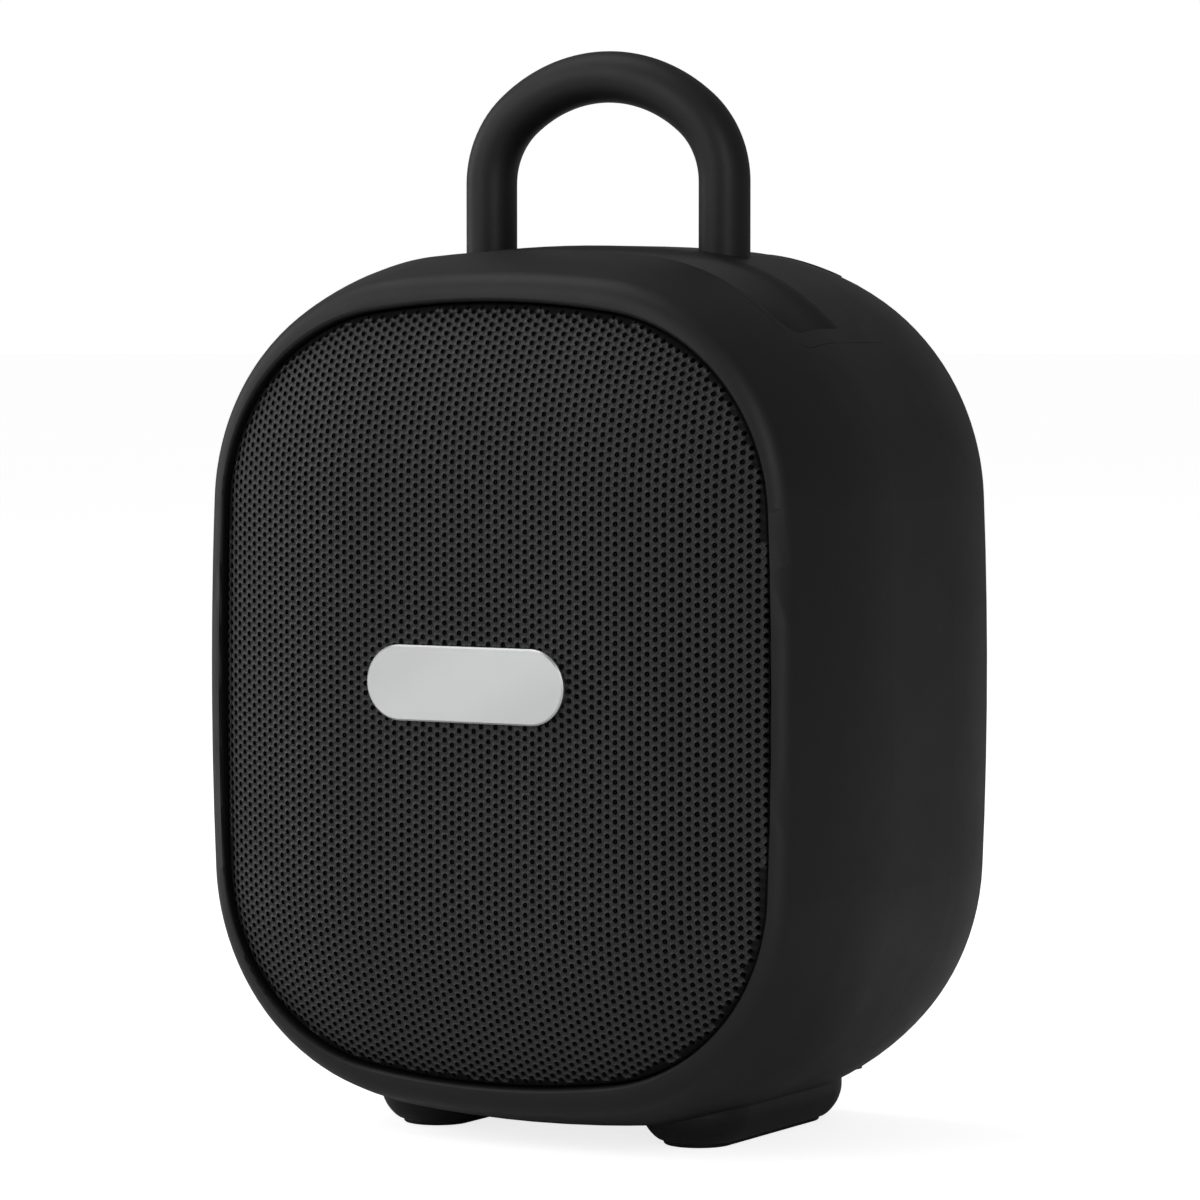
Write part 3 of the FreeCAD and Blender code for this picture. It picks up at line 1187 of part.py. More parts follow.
def battery_leads():
    """Pair from the cells' end contacts to the main board."""
    x = CELL_LENGTH / 2 + CELL_CONTACT + LEAD_R + 0.1
    return lead([
        (x, 50.0, BATTERY_Z - CELL_PITCH / 2), (x + 1.5, 50.0, -8.0), (x + 1.2, 51.0, -24.0),
        (24.5, 52.0, -33.0), (24.5, 52.0, BOARD_TOP + 0.05),
    ], LEAD_R)


def key_leads():
    """Lead from the key board down to the main board."""
    z = key_board_top() - KEY_BOARD_THICKNESS - 0.05
    return lead([
        (-26.0, 21.0, z), (-26.0, 22.5, 40.0), (-27.0, 38.2, 33.0), (-28.0, 38.4, 0.0),
        (-27.0, 38.6, -28.0), (-24.0, 45.0, -36.0), (-24.0, 46.0, BOARD_TOP + 0.05),
    ], LEAD_R)


# ================================================================ export
def export(name, shapes):
    """Moves one node's solids from the model's origin to the ground under the middle, and writes them."""
    solids = [s for shape in (shapes if isinstance(shapes, list) else [shapes]) for s in shape.Solids]
    for solid in solids:
        solid.translate(Vector(0, -MIDDLE_Y, -GROUND_Z))
    shape = solids[0] if len(solids) == 1 else Part.makeCompound(solids)
    shape.exportStep(os.path.join("parts", name + ".step"))
    print(name, len(solids), round(sum(s.Volume for s in solids), 3))


def main():
    """Builds every node and writes it to parts/."""
    os.makedirs("parts", exist_ok=True)
    outer, inner = case_skin(), case_skin(WALL)
    shell = case_shell(outer, inner)
    pads = both_sides([shoulder_pad()])
    feet = both_sides([foot_pad()])
    nodes = {
        "front_housing": front_housing(outer, inner, shell),
        "rear_housing": rear_housing(outer, inner, shell),
        "case_seal": case_seal(),
        "case_screws": case_screws(),
        "foot_pad_right": feet[0],
        "foot_pad_left": feet[1],
        "shoulder_pad_right": pads[0],
        "shoulder_pad_left": pads[1],
        "grille": grille(),
        "grille_cloth": grille_cloth(),
        "badge": badge(),
        "badge_adhesive": badge_adhesive(),
        "driver_gasket": driver_gasket(),
        "driver_frame": driver_frame(),
        "driver_screws": driver_screws(),
        "driver_surround": driver_surround(),
        "driver_cone": driver_cone(),
        "dust_cap": dust_cap(),
        "voice_coil": voice_coil(),
        "driver_spider": driver_spider(),
        "driver_top_plate": driver_top_plate(),
        "driver_magnet": driver_magnet(),
        "driver_yoke": driver_yoke(),
        "radiator_ring": radiator_ring(),
        "radiator_surround": radiator_surround(),
        "radiator_plate": radiator_plate(),
        "top_panel": top_panel(outer, inner),
        "panel_screws": panel_screws(),
        "key_switches": key_switches(),
        "key_board": key_board(),
        "key_board_screws": key_board_screws(),
        "status_light": status_light(),
        "handle_loop": handle_loop(),
        "handle_clamp": handle_clamp(),
        "handle_screws": handle_screws(),
        "port_cover": port_cover(),
        "port_cover_anchor": port_cover_anchor(),
        "usb_c_socket": usb_c_socket(),
        "audio_jack": audio_jack(),
        "main_board": main_board(),
        "board_screws": board_screws(),
        "battery_cells": battery_cells(),
        "battery_holder": battery_holder(),
        "battery_straps": battery_straps(),
        "driver_leads": driver_leads(),
        "battery_leads": battery_leads(),
        "key_leads": key_leads(),
    }
    for n, name in enumerate(BUTTON_NAMES):
        nodes["button_" + name] = button(n)
    for name, shapes in nodes.items():
        export(name, shapes)


main()
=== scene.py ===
"""Looks of a portable speaker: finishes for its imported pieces, its perforated grille, light and camera."""
import json
import logging
import math
from dataclasses import dataclass, field
from enum import Enum
from typing import Iterable, Sequence

import bpy
import numpy as np
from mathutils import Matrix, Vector
from mathutils.geometry import delaunay_2d_cdt


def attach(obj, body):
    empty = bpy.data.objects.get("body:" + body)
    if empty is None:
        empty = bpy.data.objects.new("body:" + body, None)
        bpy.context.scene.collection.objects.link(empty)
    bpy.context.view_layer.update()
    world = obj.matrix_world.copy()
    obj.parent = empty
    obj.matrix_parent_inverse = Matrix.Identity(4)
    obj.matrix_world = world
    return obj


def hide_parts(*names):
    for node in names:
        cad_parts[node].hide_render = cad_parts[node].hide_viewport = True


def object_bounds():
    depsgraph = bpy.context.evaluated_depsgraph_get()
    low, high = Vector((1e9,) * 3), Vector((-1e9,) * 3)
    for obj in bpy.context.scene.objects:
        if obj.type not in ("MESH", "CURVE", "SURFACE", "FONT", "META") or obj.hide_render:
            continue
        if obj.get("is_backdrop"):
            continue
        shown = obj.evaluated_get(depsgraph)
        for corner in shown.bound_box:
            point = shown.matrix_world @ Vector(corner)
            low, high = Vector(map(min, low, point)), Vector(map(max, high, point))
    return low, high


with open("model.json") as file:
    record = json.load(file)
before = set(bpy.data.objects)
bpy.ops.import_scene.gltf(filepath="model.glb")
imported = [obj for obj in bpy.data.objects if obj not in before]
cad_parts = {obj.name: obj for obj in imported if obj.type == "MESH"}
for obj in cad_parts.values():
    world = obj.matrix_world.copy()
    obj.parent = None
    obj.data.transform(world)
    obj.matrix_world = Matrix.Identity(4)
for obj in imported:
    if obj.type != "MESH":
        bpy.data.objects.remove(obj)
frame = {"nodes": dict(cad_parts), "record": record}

LOG = logging.getLogger("speaker")
MM = 0.001
Colour = tuple[float, float, float]
Point = tuple[float, float, float]
Faces = list[list[int]]
Key = tuple[int, int]
Socket = bpy.types.NodeSocket

ROW_Y = -29.4502  # where the case's front rim stands in the row frame
ROW_Z = 68.65  # height of the case's middle in the row frame
RIM = 12  # points round each hole of the grille
TINY = 1e-9
WAVE_RATE = 20.0  # bands that a wave texture makes for each unit of its scale


class Grain(Enum):
    """Kinds of fine relief that a surface can carry."""

    SOFT_TOUCH = "soft touch"
    POWDER = "powder coat"
    MATTE_RUBBER = "matte rubber"
    MOULDED = "moulded"


# ---------------------------------------------------------------- node trees
class Tree:
    """A small helper that builds one material's nodes around a Principled BSDF."""

    def __init__(self, name: str) -> None:
        """Makes the material and keeps its shader.

        Args:
            name: The material's name.
        """
        self.material = bpy.data.materials.new(name)
        self.material.use_nodes = True
        self.nodes = self.material.node_tree.nodes
        self.links = self.material.node_tree.links
        self.shader = self.nodes["Principled BSDF"]
        self.place = self.add("ShaderNodeTexCoord").outputs["Object"]

    def add(self, kind: str, **settings: object) -> bpy.types.Node:
        """Adds a node.

        Args:
            kind: The node's Blender type.
            **settings: Properties to set on it.

        Returns:
            The new node.
        """
        node = self.nodes.new(kind)
        for key, value in settings.items():
            setattr(node, key, value)
        return node

    def set(self, **values: object) -> None:
        """Sets constants on the shader's own sockets.

        Args:
            **values: A value for each socket, with underscores for the spaces in its name.
        """
        for key, value in values.items():
            socket = self.shader.inputs[key.replace("_", " ")]
            socket.default_value = (*value, 1.0) if isinstance(value, tuple) else value

    def noise(self, scale: float, detail: float = 3.0, stretch: Sequence[float] = (1, 1, 1)) -> Socket:
        """Adds noise in the object's own space.

        Args:
            scale: Features per metre, roughly.
            detail: Octaves.
            stretch: Scale along each axis, for brushed or pulled looks.

        Returns:
            The noise's value socket.
        """
        mapping = self.add("ShaderNodeMapping")
        mapping.inputs["Scale"].default_value = stretch
        self.links.new(self.place, mapping.inputs["Vector"])
        noise = self.add("ShaderNodeTexNoise")
        noise.inputs["Scale"].default_value = scale
        noise.inputs["Detail"].default_value = detail
        self.links.new(mapping.outputs["Vector"], noise.inputs["Vector"])
        return noise.outputs["Fac"]

    def ramp(self, value: Socket, low: Colour, high: Colour, start: float, end: float) -> Socket:
        """Turns a value into a colour between two ends.

        Args:
            value: The driving value.
            low: Colour below start.
            high: Colour above end.
            start: Value where the change starts.
            end: Value where it ends.

        Returns:
            The colour socket.
        """
        ramp = self.add("ShaderNodeValToRGB")
        stops = ramp.color_ramp.elements
        stops[0].position, stops[1].position = start, end
        stops[0].color, stops[1].color = (*low, 1), (*high, 1)
        self.links.new(value, ramp.inputs["Fac"])
        return ramp.outputs["Color"]

    def span(self, value: Socket, low: float, high: float) -> Socket:
        """Maps a value from 0..1 to low..high.

        Args:
            value: The driving value.
            low: Result at 0.
            high: Result at 1.

        Returns:
            The mapped value's socket.
        """
        mapped = self.add("ShaderNodeMapRange")
        mapped.inputs["To Min"].default_value = low
        mapped.inputs["To Max"].default_value = high
        self.links.new(value, mapped.inputs["Value"])
        return mapped.outputs["Result"]

    def colour(self, socket: Socket) -> None:
        """Links the base colour."""
        self.links.new(socket, self.shader.inputs["Base Color"])

    def roughness(self, socket: Socket) -> None:
        """Links the roughness."""
        self.links.new(socket, self.shader.inputs["Roughness"])

    def bump(self, heights: Iterable[tuple[Socket, float]]) -> None:
        """Stacks bumps onto the surface.

        Args:
            heights: Height sockets, each with its real depth in metres.
        """
        normal = None
        for height, depth in heights:
            bump = self.add("ShaderNodeBump")
            bump.inputs["Distance"].default_value = depth
            self.links.new(height, bump.inputs["Height"])
            if normal is not None:
                self.links.new(normal, bump.inputs["Normal"])
            normal = bump.outputs["Normal"]
        self.links.new(normal, self.shader.inputs["Normal"])


# ---------------------------------------------------------------- finishes
@dataclass(frozen=True)
class Relief:
    """Fine relief: bumps per metre, their depth in metres, and how far the roughness strays."""

    scale: float
    depth: float
    spread: float


RELIEFS = {
    Grain.SOFT_TOUCH: Relief(5200.0, 0.000010, 0.06),
    Grain.POWDER: Relief(3600.0, 0.000014, 0.08),
    Grain.MATTE_RUBBER: Relief(6500.0, 0.000008, 0.05),
    Grain.MOULDED: Relief(2600.0, 0.000008, 0.05),
}


@dataclass(frozen=True)
class Coating:
    """Opaque moulded, painted or rubber surface with a fine grain and slight unevenness."""

    name: str
    colour: Colour
    roughness: float
    grain: Grain
    specular: float = 0.5
    mottle: float = 0.12
    clouds: float = 38.0
    smudges: float = 140.0
    coarse_scale: float = 0.31
    coarse_depth: float = 0.8

    def build(self) -> bpy.types.Material:
        """Makes the material.

        Returns:
            The finished material.
        """
        tree = Tree(self.name)
        relief = RELIEFS[self.grain]
        tree.set(Specular_IOR_Level=self.specular)
        cloudy = tree.noise(self.clouds, 4.0)
        low = tuple(c * (1 - self.mottle) for c in self.colour)
        high = tuple(c * (1 + self.mottle) for c in self.colour)
        tree.colour(tree.ramp(cloudy, low, high, 0.3, 0.7))
        shiny, dull = self.roughness - relief.spread, self.roughness + relief.spread
        tree.roughness(tree.span(tree.noise(self.smudges, 3.0), shiny, dull))
        fine, coarse = tree.noise(relief.scale, 2.0), tree.noise(relief.scale * self.coarse_scale, 2.0)
        tree.bump([(fine, relief.depth), (coarse, relief.depth * self.coarse_depth)])
        return tree.material


@dataclass(frozen=True)
class BrushedMetal:
    """Metal brushed or turned along one axis, with painted sheen bands in its colour when a period is given.
    """

    name: str
    colour: Colour
    roughness: float
    stretch: tuple[float, float, float] = (1.0, 1.0, 1.0)
    scale: float = 2400.0
    depth: float = 0.000006
    # period, start and lean of the painted sheen bands; no painted sheen when the period is 0
    painted_sheen_period: float = 0.0
    painted_sheen_start: float = 0.0
    painted_sheen_lean: float = 30.0

    def painted_sheen_bands(self, tree: Tree) -> Socket:
        """Painted sheen: soft light and dark bands of colour, in place of the lamps' reflections, that rise
        to the right across an upright face.

        Args:
            tree: The material being made.

        Returns:
            A value between 0 and 1.
        """
        lean = tree.add("ShaderNodeVectorMath", operation="DOT_PRODUCT")
        angle = math.radians(self.painted_sheen_lean)
        lean.inputs[1].default_value = (-math.sin(angle), 0.0, math.cos(angle))
        tree.links.new(tree.place, lean.inputs[0])
        turn = tree.add("ShaderNodeMath", operation="MULTIPLY_ADD")
        turn.inputs[1].default_value = 2 * math.pi / self.painted_sheen_period
        turn.inputs[2].default_value = -2 * math.pi * self.painted_sheen_start / self.painted_sheen_period
        tree.links.new(lean.outputs["Value"], turn.inputs[0])
        wave = tree.add("ShaderNodeMath", operation="COSINE")
        tree.links.new(turn.outputs["Value"], wave.inputs[0])
        half = tree.add("ShaderNodeMath", operation="MULTIPLY_ADD")
        half.inputs[1].default_value, half.inputs[2].default_value = 0.5, 0.5
        tree.links.new(wave.outputs["Value"], half.inputs[0])
        return half.outputs["Value"]

    def build(self) -> bpy.types.Material:
        """Makes the material.

        Returns:
            The finished material.
        """
        tree = Tree(self.name)
        tree.set(Metallic=1.0)
        lines = tree.noise(self.scale, 4.0, self.stretch)
        low = tuple(c * 0.93 for c in self.colour)
        # painted sheen: diagonal light and dark colour bands stand in for the lamps' reflections
        if self.painted_sheen_period:
            tree.colour(tree.ramp(self.painted_sheen_bands(tree), low, self.colour, 0.1, 0.9))
        else:
            tree.colour(tree.ramp(lines, low, self.colour, 0.35, 0.65))
        tree.roughness(tree.span(lines, self.roughness - 0.06, self.roughness + 0.08))
        tree.bump([(lines, self.depth)])
        return tree.material


@dataclass(frozen=True)
class Woven:
    """Cloth or pressed fibre with crossed threads."""

    name: str
    colour: Colour
    threads_per_metre: float
    roughness: float = 0.9
    depth: float = 0.00005

    def build(self) -> bpy.types.Material:
        """Makes the material.

        Returns:
            The finished material.
        """
        tree = Tree(self.name)
        waves = []
        for direction in ("X", "Z"):
            wave = tree.add("ShaderNodeTexWave", bands_direction=direction)
            wave.inputs["Scale"].default_value = self.threads_per_metre / WAVE_RATE
            wave.inputs["Distortion"].default_value = 0.4
            tree.links.new(tree.place, wave.inputs["Vector"])
            waves.append(wave.outputs["Fac"])
        fibre = tree.noise(self.threads_per_metre * 2.0, 4.0)
        dark = tuple(c * 0.55 for c in self.colour)
        tree.colour(tree.ramp(fibre, dark, self.colour, 0.3, 0.7))
        tree.roughness(tree.span(fibre, self.roughness - 0.08, self.roughness + 0.08))
        tree.bump([(waves[0], self.depth), (waves[1], self.depth), (fibre, self.depth * 0.5)])
        return tree.material


@dataclass(frozen=True)
class Laminate:
    """Circuit board with solder mask and faint tracks under it."""

    name: str
    mask: Colour
    track: Colour

    def build(self) -> bpy.types.Material:
        """Makes the material.

        Returns:
            The finished material.
        """
        tree = Tree(self.name)
        cells = tree.add("ShaderNodeTexVoronoi", feature="DISTANCE_TO_EDGE", distance="MANHATTAN")
        cells.inputs["Scale"].default_value = 420.0
        cells.inputs["Randomness"].default_value = 0.85
        tree.links.new(tree.place, cells.inputs["Vector"])
        tracks = cells.outputs["Distance"]
        tree.colour(tree.ramp(tracks, self.track, self.mask, 0.10, 0.16))
        tree.roughness(tree.span(tree.noise(300.0), 0.22, 0.38))
        tree.bump([(tracks, 0.00004)])
        return tree.material


@dataclass(frozen=True)
class Winding:
    """Enamelled wire wound round an axis that lies along Y."""

    name: str
    colour: Colour
    turns_per_metre: float = 4200.0

    def build(self) -> bpy.types.Material:
        """Makes the material.

        Returns:
            The finished material.
        """
        tree = Tree(self.name)
        tree.set(Metallic=1.0)
        wave = tree.add("ShaderNodeTexWave", bands_direction="Y")
        wave.inputs["Scale"].default_value = self.turns_per_metre / WAVE_RATE
        tree.links.new(tree.place, wave.inputs["Vector"])
        dark = tuple(c * 0.4 for c in self.colour)
        tree.colour(tree.ramp(wave.outputs["Fac"], dark, self.colour, 0.2, 0.8))
        tree.roughness(tree.span(tree.noise(500.0), 0.25, 0.4))
        tree.bump([(wave.outputs["Fac"], 0.00006)])
        return tree.material


FINISHES = (
    Coating("case_soft_touch", (0.0060, 0.0060, 0.0063), 0.50, Grain.SOFT_TOUCH, specular=0.42),
    Coating("grille_powder_coat", (0.0088, 0.0088, 0.0090), 0.44, Grain.POWDER, specular=0.5),
    Woven("acoustic_cloth", (0.006, 0.006, 0.006), 2600.0),
    BrushedMetal(
        "badge_satin", (0.86, 0.865, 0.87), 0.36, (1.0, 1.0, 0.05), 3800.0,
        # the badge's colour carries painted sheen: light and dark bands 21 mm apart in place of reflections
        depth=0.0000012, painted_sheen_period=0.021, painted_sheen_start=0.0608,
    ),
    Coating("closed_cell_foam", (0.015, 0.015, 0.016), 0.85, Grain.MOULDED),
    Coating("pad_rubber", (0.006, 0.006, 0.0062), 0.62, Grain.MATTE_RUBBER, specular=0.35),
    Coating("loop_silicone", (0.0060, 0.0060, 0.0063), 0.50, Grain.SOFT_TOUCH, specular=0.42),
    Coating("key_rubber", (0.011, 0.011, 0.0115), 0.56, Grain.MATTE_RUBBER, specular=0.4),
    BrushedMetal("zinc_plate", (0.56, 0.57, 0.58), 0.32, (1.0, 1.0, 1.0), 900.0),
    Coating("inner_moulding", (0.030, 0.030, 0.031), 0.45, Grain.MOULDED),
    Coating("ferrite", (0.045, 0.045, 0.05), 0.55, Grain.POWDER, mottle=0.25),
    Woven("cone_pulp", (0.035, 0.034, 0.033), 900.0, 0.85, 0.00008),
    Winding("coil_winding", (0.72, 0.33, 0.16)),
    Woven("spider_weave", (0.55, 0.38, 0.18), 1600.0, 0.8),
    Coating("frosted_lens", (0.55, 0.58, 0.60), 0.35, Grain.MOULDED, mottle=0.04),
    Laminate("board_mask", (0.012, 0.085, 0.035), (0.03, 0.19, 0.08)),
    BrushedMetal("stamped_shell", (0.62, 0.63, 0.64), 0.28, (1.0, 0.08, 1.0), 1500.0),
    Coating("cell_shrink_wrap", (0.03, 0.10, 0.34), 0.28, Grain.MOULDED, mottle=0.06),
    Woven("strap_tape", (0.04, 0.04, 0.042), 1800.0),
    Coating("lead_jacket", (0.20, 0.018, 0.016), 0.42, Grain.MATTE_RUBBER),
)

SLOT_FINISH = {
    "case_plastic": "case_soft_touch", "grille_paint": "grille_powder_coat",
    "black_cloth": "acoustic_cloth",
    "badge_aluminium": "badge_satin", "foam": "closed_cell_foam", "black_rubber": "pad_rubber",
    "loop_silicone": "loop_silicone", "key_rubber": "key_rubber", "zinc_steel": "zinc_plate",
    "inner_plastic": "inner_moulding", "ferrite": "ferrite", "cone_paper": "cone_pulp",
    "coil_copper": "coil_winding", "spider_cloth": "spider_weave", "light_lens": "frosted_lens",
    "circuit_board": "board_mask", "socket_steel": "stamped_shell", "cell_wrap": "cell_shrink_wrap",
    "strap_tape": "strap_tape", "lead_jacket": "lead_jacket",
}


@dataclass
class Wardrobe:
    """Every finish, made once, and the record's slots that each dresses."""

    made: dict[str, bpy.types.Material] = field(default_factory=dict)

    def build(self) -> None:
        """Makes each finish's material."""
        for finish in FINISHES:
            self.made[finish.name] = finish.build()

    def for_slot(self, slot: str) -> bpy.types.Material:
        """The material that a record slot wears."""
        return self.made[SLOT_FINISH[slot]]

    def dress_nodes(self) -> None:
        """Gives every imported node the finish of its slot."""
        for part in frame["record"]["subparts"]:
            node = frame["nodes"][part["node"]]
            node.data.materials.clear()
            node.data.materials.append(self.for_slot(part["material_slot"]))
            LOG.info("%s wears %s", part["node"], SLOT_FINISH[part["material_slot"]])


# ---------------------------------------------------------------- shape helpers
def mesh_object(
    name: str, points: np.ndarray, faces: Faces, material: bpy.types.Material
) -> bpy.types.Object:
    """Makes a mesh object in the row frame.

    Args:
        name: Name of the piece.
        points: Its points, in metres.
        faces: Its faces as lists of point numbers.
        material: What it wears.

    Returns:
        The new object.
    """
    mesh = bpy.data.meshes.new(name)
    mesh.from_pydata(points.tolist(), [], faces)
    mesh.validate()
    mesh.materials.append(material)
    obj = bpy.data.objects.new(name, mesh)
    bpy.context.scene.collection.objects.link(obj)
    return obj


@dataclass(frozen=True)
class Outline:
    """A rounded box drawn with eight tangent arcs, in millimetres, its middle at x = 0."""

    width: float
    height: float
    r_top: float
    r_side: float
    r_corner: float
    z: float

    def arcs(self) -> list[tuple[float, float, float, float, float]]:
        """Finds the eight arcs.

        Returns:
            Centre x, centre z, radius, start and end angle of each.
        """
        side_x, top_z = self.width / 2 - self.r_side, self.height / 2 - self.r_top
        a, b = self.r_side - self.r_corner, self.r_top - self.r_corner
        gap = math.hypot(side_x, top_z)
        along = (a * a - b * b + gap * gap) / (2 * gap)
        off = math.sqrt(a * a - along * along)
        ux, uz = -side_x / gap, top_z / gap
        cx, cz = side_x + ux * along - uz * off, uz * along + ux * off
        low, high = math.atan2(cz, cx - side_x), math.atan2(cz - top_z, cx)
        z, pi = self.z, math.pi
        return [
            (side_x, z, self.r_side, -low, low),
            (cx, z + cz, self.r_corner, low, high),
            (0.0, z + top_z, self.r_top, high, pi - high),
            (-cx, z + cz, self.r_corner, pi - high, pi - low),
            (-side_x, z, self.r_side, pi - low, pi + low),
            (-cx, z - cz, self.r_corner, pi + low, pi + high),
            (0.0, z - top_z, self.r_top, pi + high, 2 * pi - high),
            (cx, z - cz, self.r_corner, 2 * pi - high, 2 * pi - low),
        ]

    def loop(self, inset: float, spacing: float = 1.0) -> np.ndarray:
        """Points round the outline after it is moved inwards.

        Args:
            inset: How far it is moved in.
            spacing: Rough distance between points on the outline itself, so that every inset has as many.

        Returns:
            An array of x and z, anticlockwise, without the first point again.
        """
        points = []
        for cx, cz, radius, start, end in self.arcs():
            count = max(2, round(radius * (end - start) / spacing))
            for angle in np.linspace(start, end, count, endpoint=False):
                reach = radius - inset
                points.append((cx + reach * math.cos(angle), cz + reach * math.sin(angle)))
        return np.array(points)

    def nearest(self, points: np.ndarray) -> tuple[np.ndarray, np.ndarray]:
        """Finds how far inside the outline points lie, and the way straight inwards from it.

        Args:
            points: An array of x and z.

        Returns:
            The inset of each point, negative outside, and a unit vector for each.
        """
        best, ways = np.full(len(points), np.inf), np.zeros_like(points)
        for cx, cz, radius, start, end in self.arcs():
            away = points - np.array([cx, cz])
            reach = np.linalg.norm(away, axis=1)
            turn = (np.arctan2(away[:, 1], away[:, 0]) - start + TINY) % (2 * math.pi)
            closer = (turn <= end - start + 2 * TINY) & (radius - reach < best)
            best = np.where(closer, radius - reach, best)
            ways = np.where(closer[:, None], -away / np.maximum(reach, TINY)[:, None], ways)
        return np.where(np.isinf(best), self.r_corner, best), ways

    def inset_of(self, points: np.ndarray) -> np.ndarray:
        """How far inside the outline points lie, negative outside."""
        return self.nearest(points)[0]


@dataclass(frozen=True)
class Place:
    """Moves points from the case's own millimetres to the row frame's metres."""

    y: float
    z: float

    def points(self, x: np.ndarray, y: np.ndarray, z: np.ndarray) -> np.ndarray:
        """Points in the row frame, one per row."""
        return np.column_stack([x, np.broadcast_to(y, x.shape) + self.y, z + self.z]) * MM


@dataclass
class Grille:
    """Crowned sheet, punched all over on a staggered pattern and turned back at its edge."""

    place: Place
    outline: Outline = Outline(94.8, 117.1, 139.9, 726.0, 30.6, -0.2)
    gap: float = 0.3
    sheet: float = 0.8
    edge_y: float = 1.45
    seat_y: float = 7.5
    edge_angle: float = 37.0
    knee_angle: float = 22.0
    edge_span: float = 5.0
    crown_span: float = 28.0
    pitch: float = 1.447
    hole_r: float = 0.40
    wall: float = 0.18
    margin: float = 0.09
    least_r: float = 0.16
    bend_inset: float = 0.14
    bend_drop: float = 0.06
    turn_inset: float = 0.04
    turn_drop: float = 0.16
    side_drop: float = 0.45

    def arcs(self) -> tuple[float, float, float, float]:
        """Finds the crown's two arcs.

        Returns:
            The angles at the edge and at the knee in radians, the shallow radius and the tighter one.
        """
        edge, knee = math.radians(self.edge_angle), math.radians(self.knee_angle)
        big = (self.crown_span - self.edge_span) / math.sin(knee)
        return edge, knee, big, self.edge_span / (math.sin(edge) - math.sin(knee))

    def growth(self) -> float:
        """How much further the flat sheet reached out before it was formed."""
        edge, knee, big, small = self.arcs()
        return big * knee + small * (edge - knee) - self.crown_span

    def formed(self, flat: np.ndarray) -> np.ndarray:
        """Moves points of the flat sheet to where they lie once it is formed.

        Args:
            flat: An array of x and z on the flat sheet.

        Returns:
            The same points on the formed sheet, seen from the front.
        """
        _, knee, big, small = self.arcs()
        inset, inward = self.outline.nearest(flat)
        length = np.maximum(self.crown_span + self.gap - inset, 0)
        turn = np.maximum(length - big * knee, 0) / small
        run = big * np.sin(np.minimum(length / big, knee)) + small * (np.sin(knee + turn) - math.sin(knee))
        return flat + inward * (length - run)[:, None]

    def depth(self, inset: np.ndarray) -> np.ndarray:
        """Depth of the front surface at an inset from the opening.

        Args:
            inset: Insets from the opening's outline.

        Returns:
            The depth y of the surface at each.
        """
        edge, knee, big, small = self.arcs()
        rise = small * (math.cos(knee) - math.cos(edge)) + big * (1 - math.cos(knee))
        crest = self.edge_y - rise
        run = np.clip(self.crown_span + self.gap - np.asarray(inset, float), 0, self.crown_span)
        shallow = crest + big - np.sqrt(big**2 - np.minimum(run, self.crown_span - self.edge_span) ** 2)
        reach = small * math.sin(knee) + np.maximum(run - (self.crown_span - self.edge_span), 0)
        return shallow + small * math.cos(knee) - np.sqrt(small**2 - reach**2)

    def centres(self) -> dict[Key, tuple[float, float, float]]:
        """Finds the holes that lie inside the turned edge, those beside it punched smaller.

        Returns:
            Each hole's centre and radius, by column and place in the column.
        """
        step = self.pitch * math.sqrt(3) / 2
        columns = int(self.outline.width / step / 2) + 2
        rows = int(self.outline.height / self.pitch / 2) + 2
        keys = [(i, j) for i in range(-columns, columns + 1) for j in range(-rows, rows + 1)]
        places = np.array([(i * step, (j + 0.5 * (i % 2)) * self.pitch) for i, j in keys])
        room = self.outline.inset_of(places) + self.growth() - self.gap - self.wall - self.margin
        return {
            key: (*spot, min(self.hole_r, free))
            for key, spot, free in zip(keys, places, room) if free > self.least_r
        }

    @staticmethod
    def neighbour(key: Key, turn: int) -> Key:
        """Finds the hole next to this one in one of six directions.

        Args:
            key: The hole's column and place in it.
            turn: Steps of 60 degrees, from 30 below the x axis.

        Returns:
            The neighbour's column and place in it.
        """
        i, j = key
        odd = i % 2
        around = [
            (i + 1, j - 1 + odd), (i + 1, j + odd), (i, j + 1),
            (i - 1, j + odd), (i - 1, j - 1 + odd), (i, j - 1),
        ]
        return around[turn % len(around)]

    @staticmethod
    def rim_point(hole: int, turn: int) -> int:
        """Number of one of the points round a hole."""
        return RIM * hole + turn % RIM

    def web(self, holes: dict[Key, int]) -> Faces:
        """Makes the faces of the metal between neighbouring holes, as numbers of rim points.

        Args:
            holes: The number of each hole, whose first rim point is half a step above the x axis.

        Returns:
            Faces, anticlockwise seen from the front.
        """
        faces, point = [], self.rim_point
        for key, n in holes.items():
            for turn in range(3):
                other, third = self.neighbour(key, turn), self.neighbour(key, turn + 1)
                if other not in holes:
                    continue
                m, a = holes[other], 2 * turn - 2
                faces.append([point(n, a), point(m, a + 7), point(m, a + 6), point(n, a + 1)])
                if turn < 2 and third in holes:
                    k = holes[third]
                    faces.append([
                        point(n, a + 1), point(m, a + 6), point(m, a + 5),
                        point(k, a + 10), point(k, a + 9), point(n, a + 2),
                    ])
        return faces

    @staticmethod
    def rims(faces: Faces, count: int) -> Faces:
        """Outer borders of the web and the holes taken together.

        Args:
            faces: The web's faces.
            count: How many holes there are.

        Returns:
            Closed borders as lists of rim points.
        """
        discs = [[RIM * n + k for k in range(RIM)] for n in range(count)]
        edges = {(a, b) for face in faces + discs for a, b in zip(face, face[1:] + face[:1])}
        follow = {a: b for a, b in edges if (b, a) not in edges}
        loops = []
        while follow:
            start, here = follow.popitem()
            loop = [start]
            while here != start:
                loop.append(here)
                here = follow.pop(here)
            loops.append(loop)
        return loops

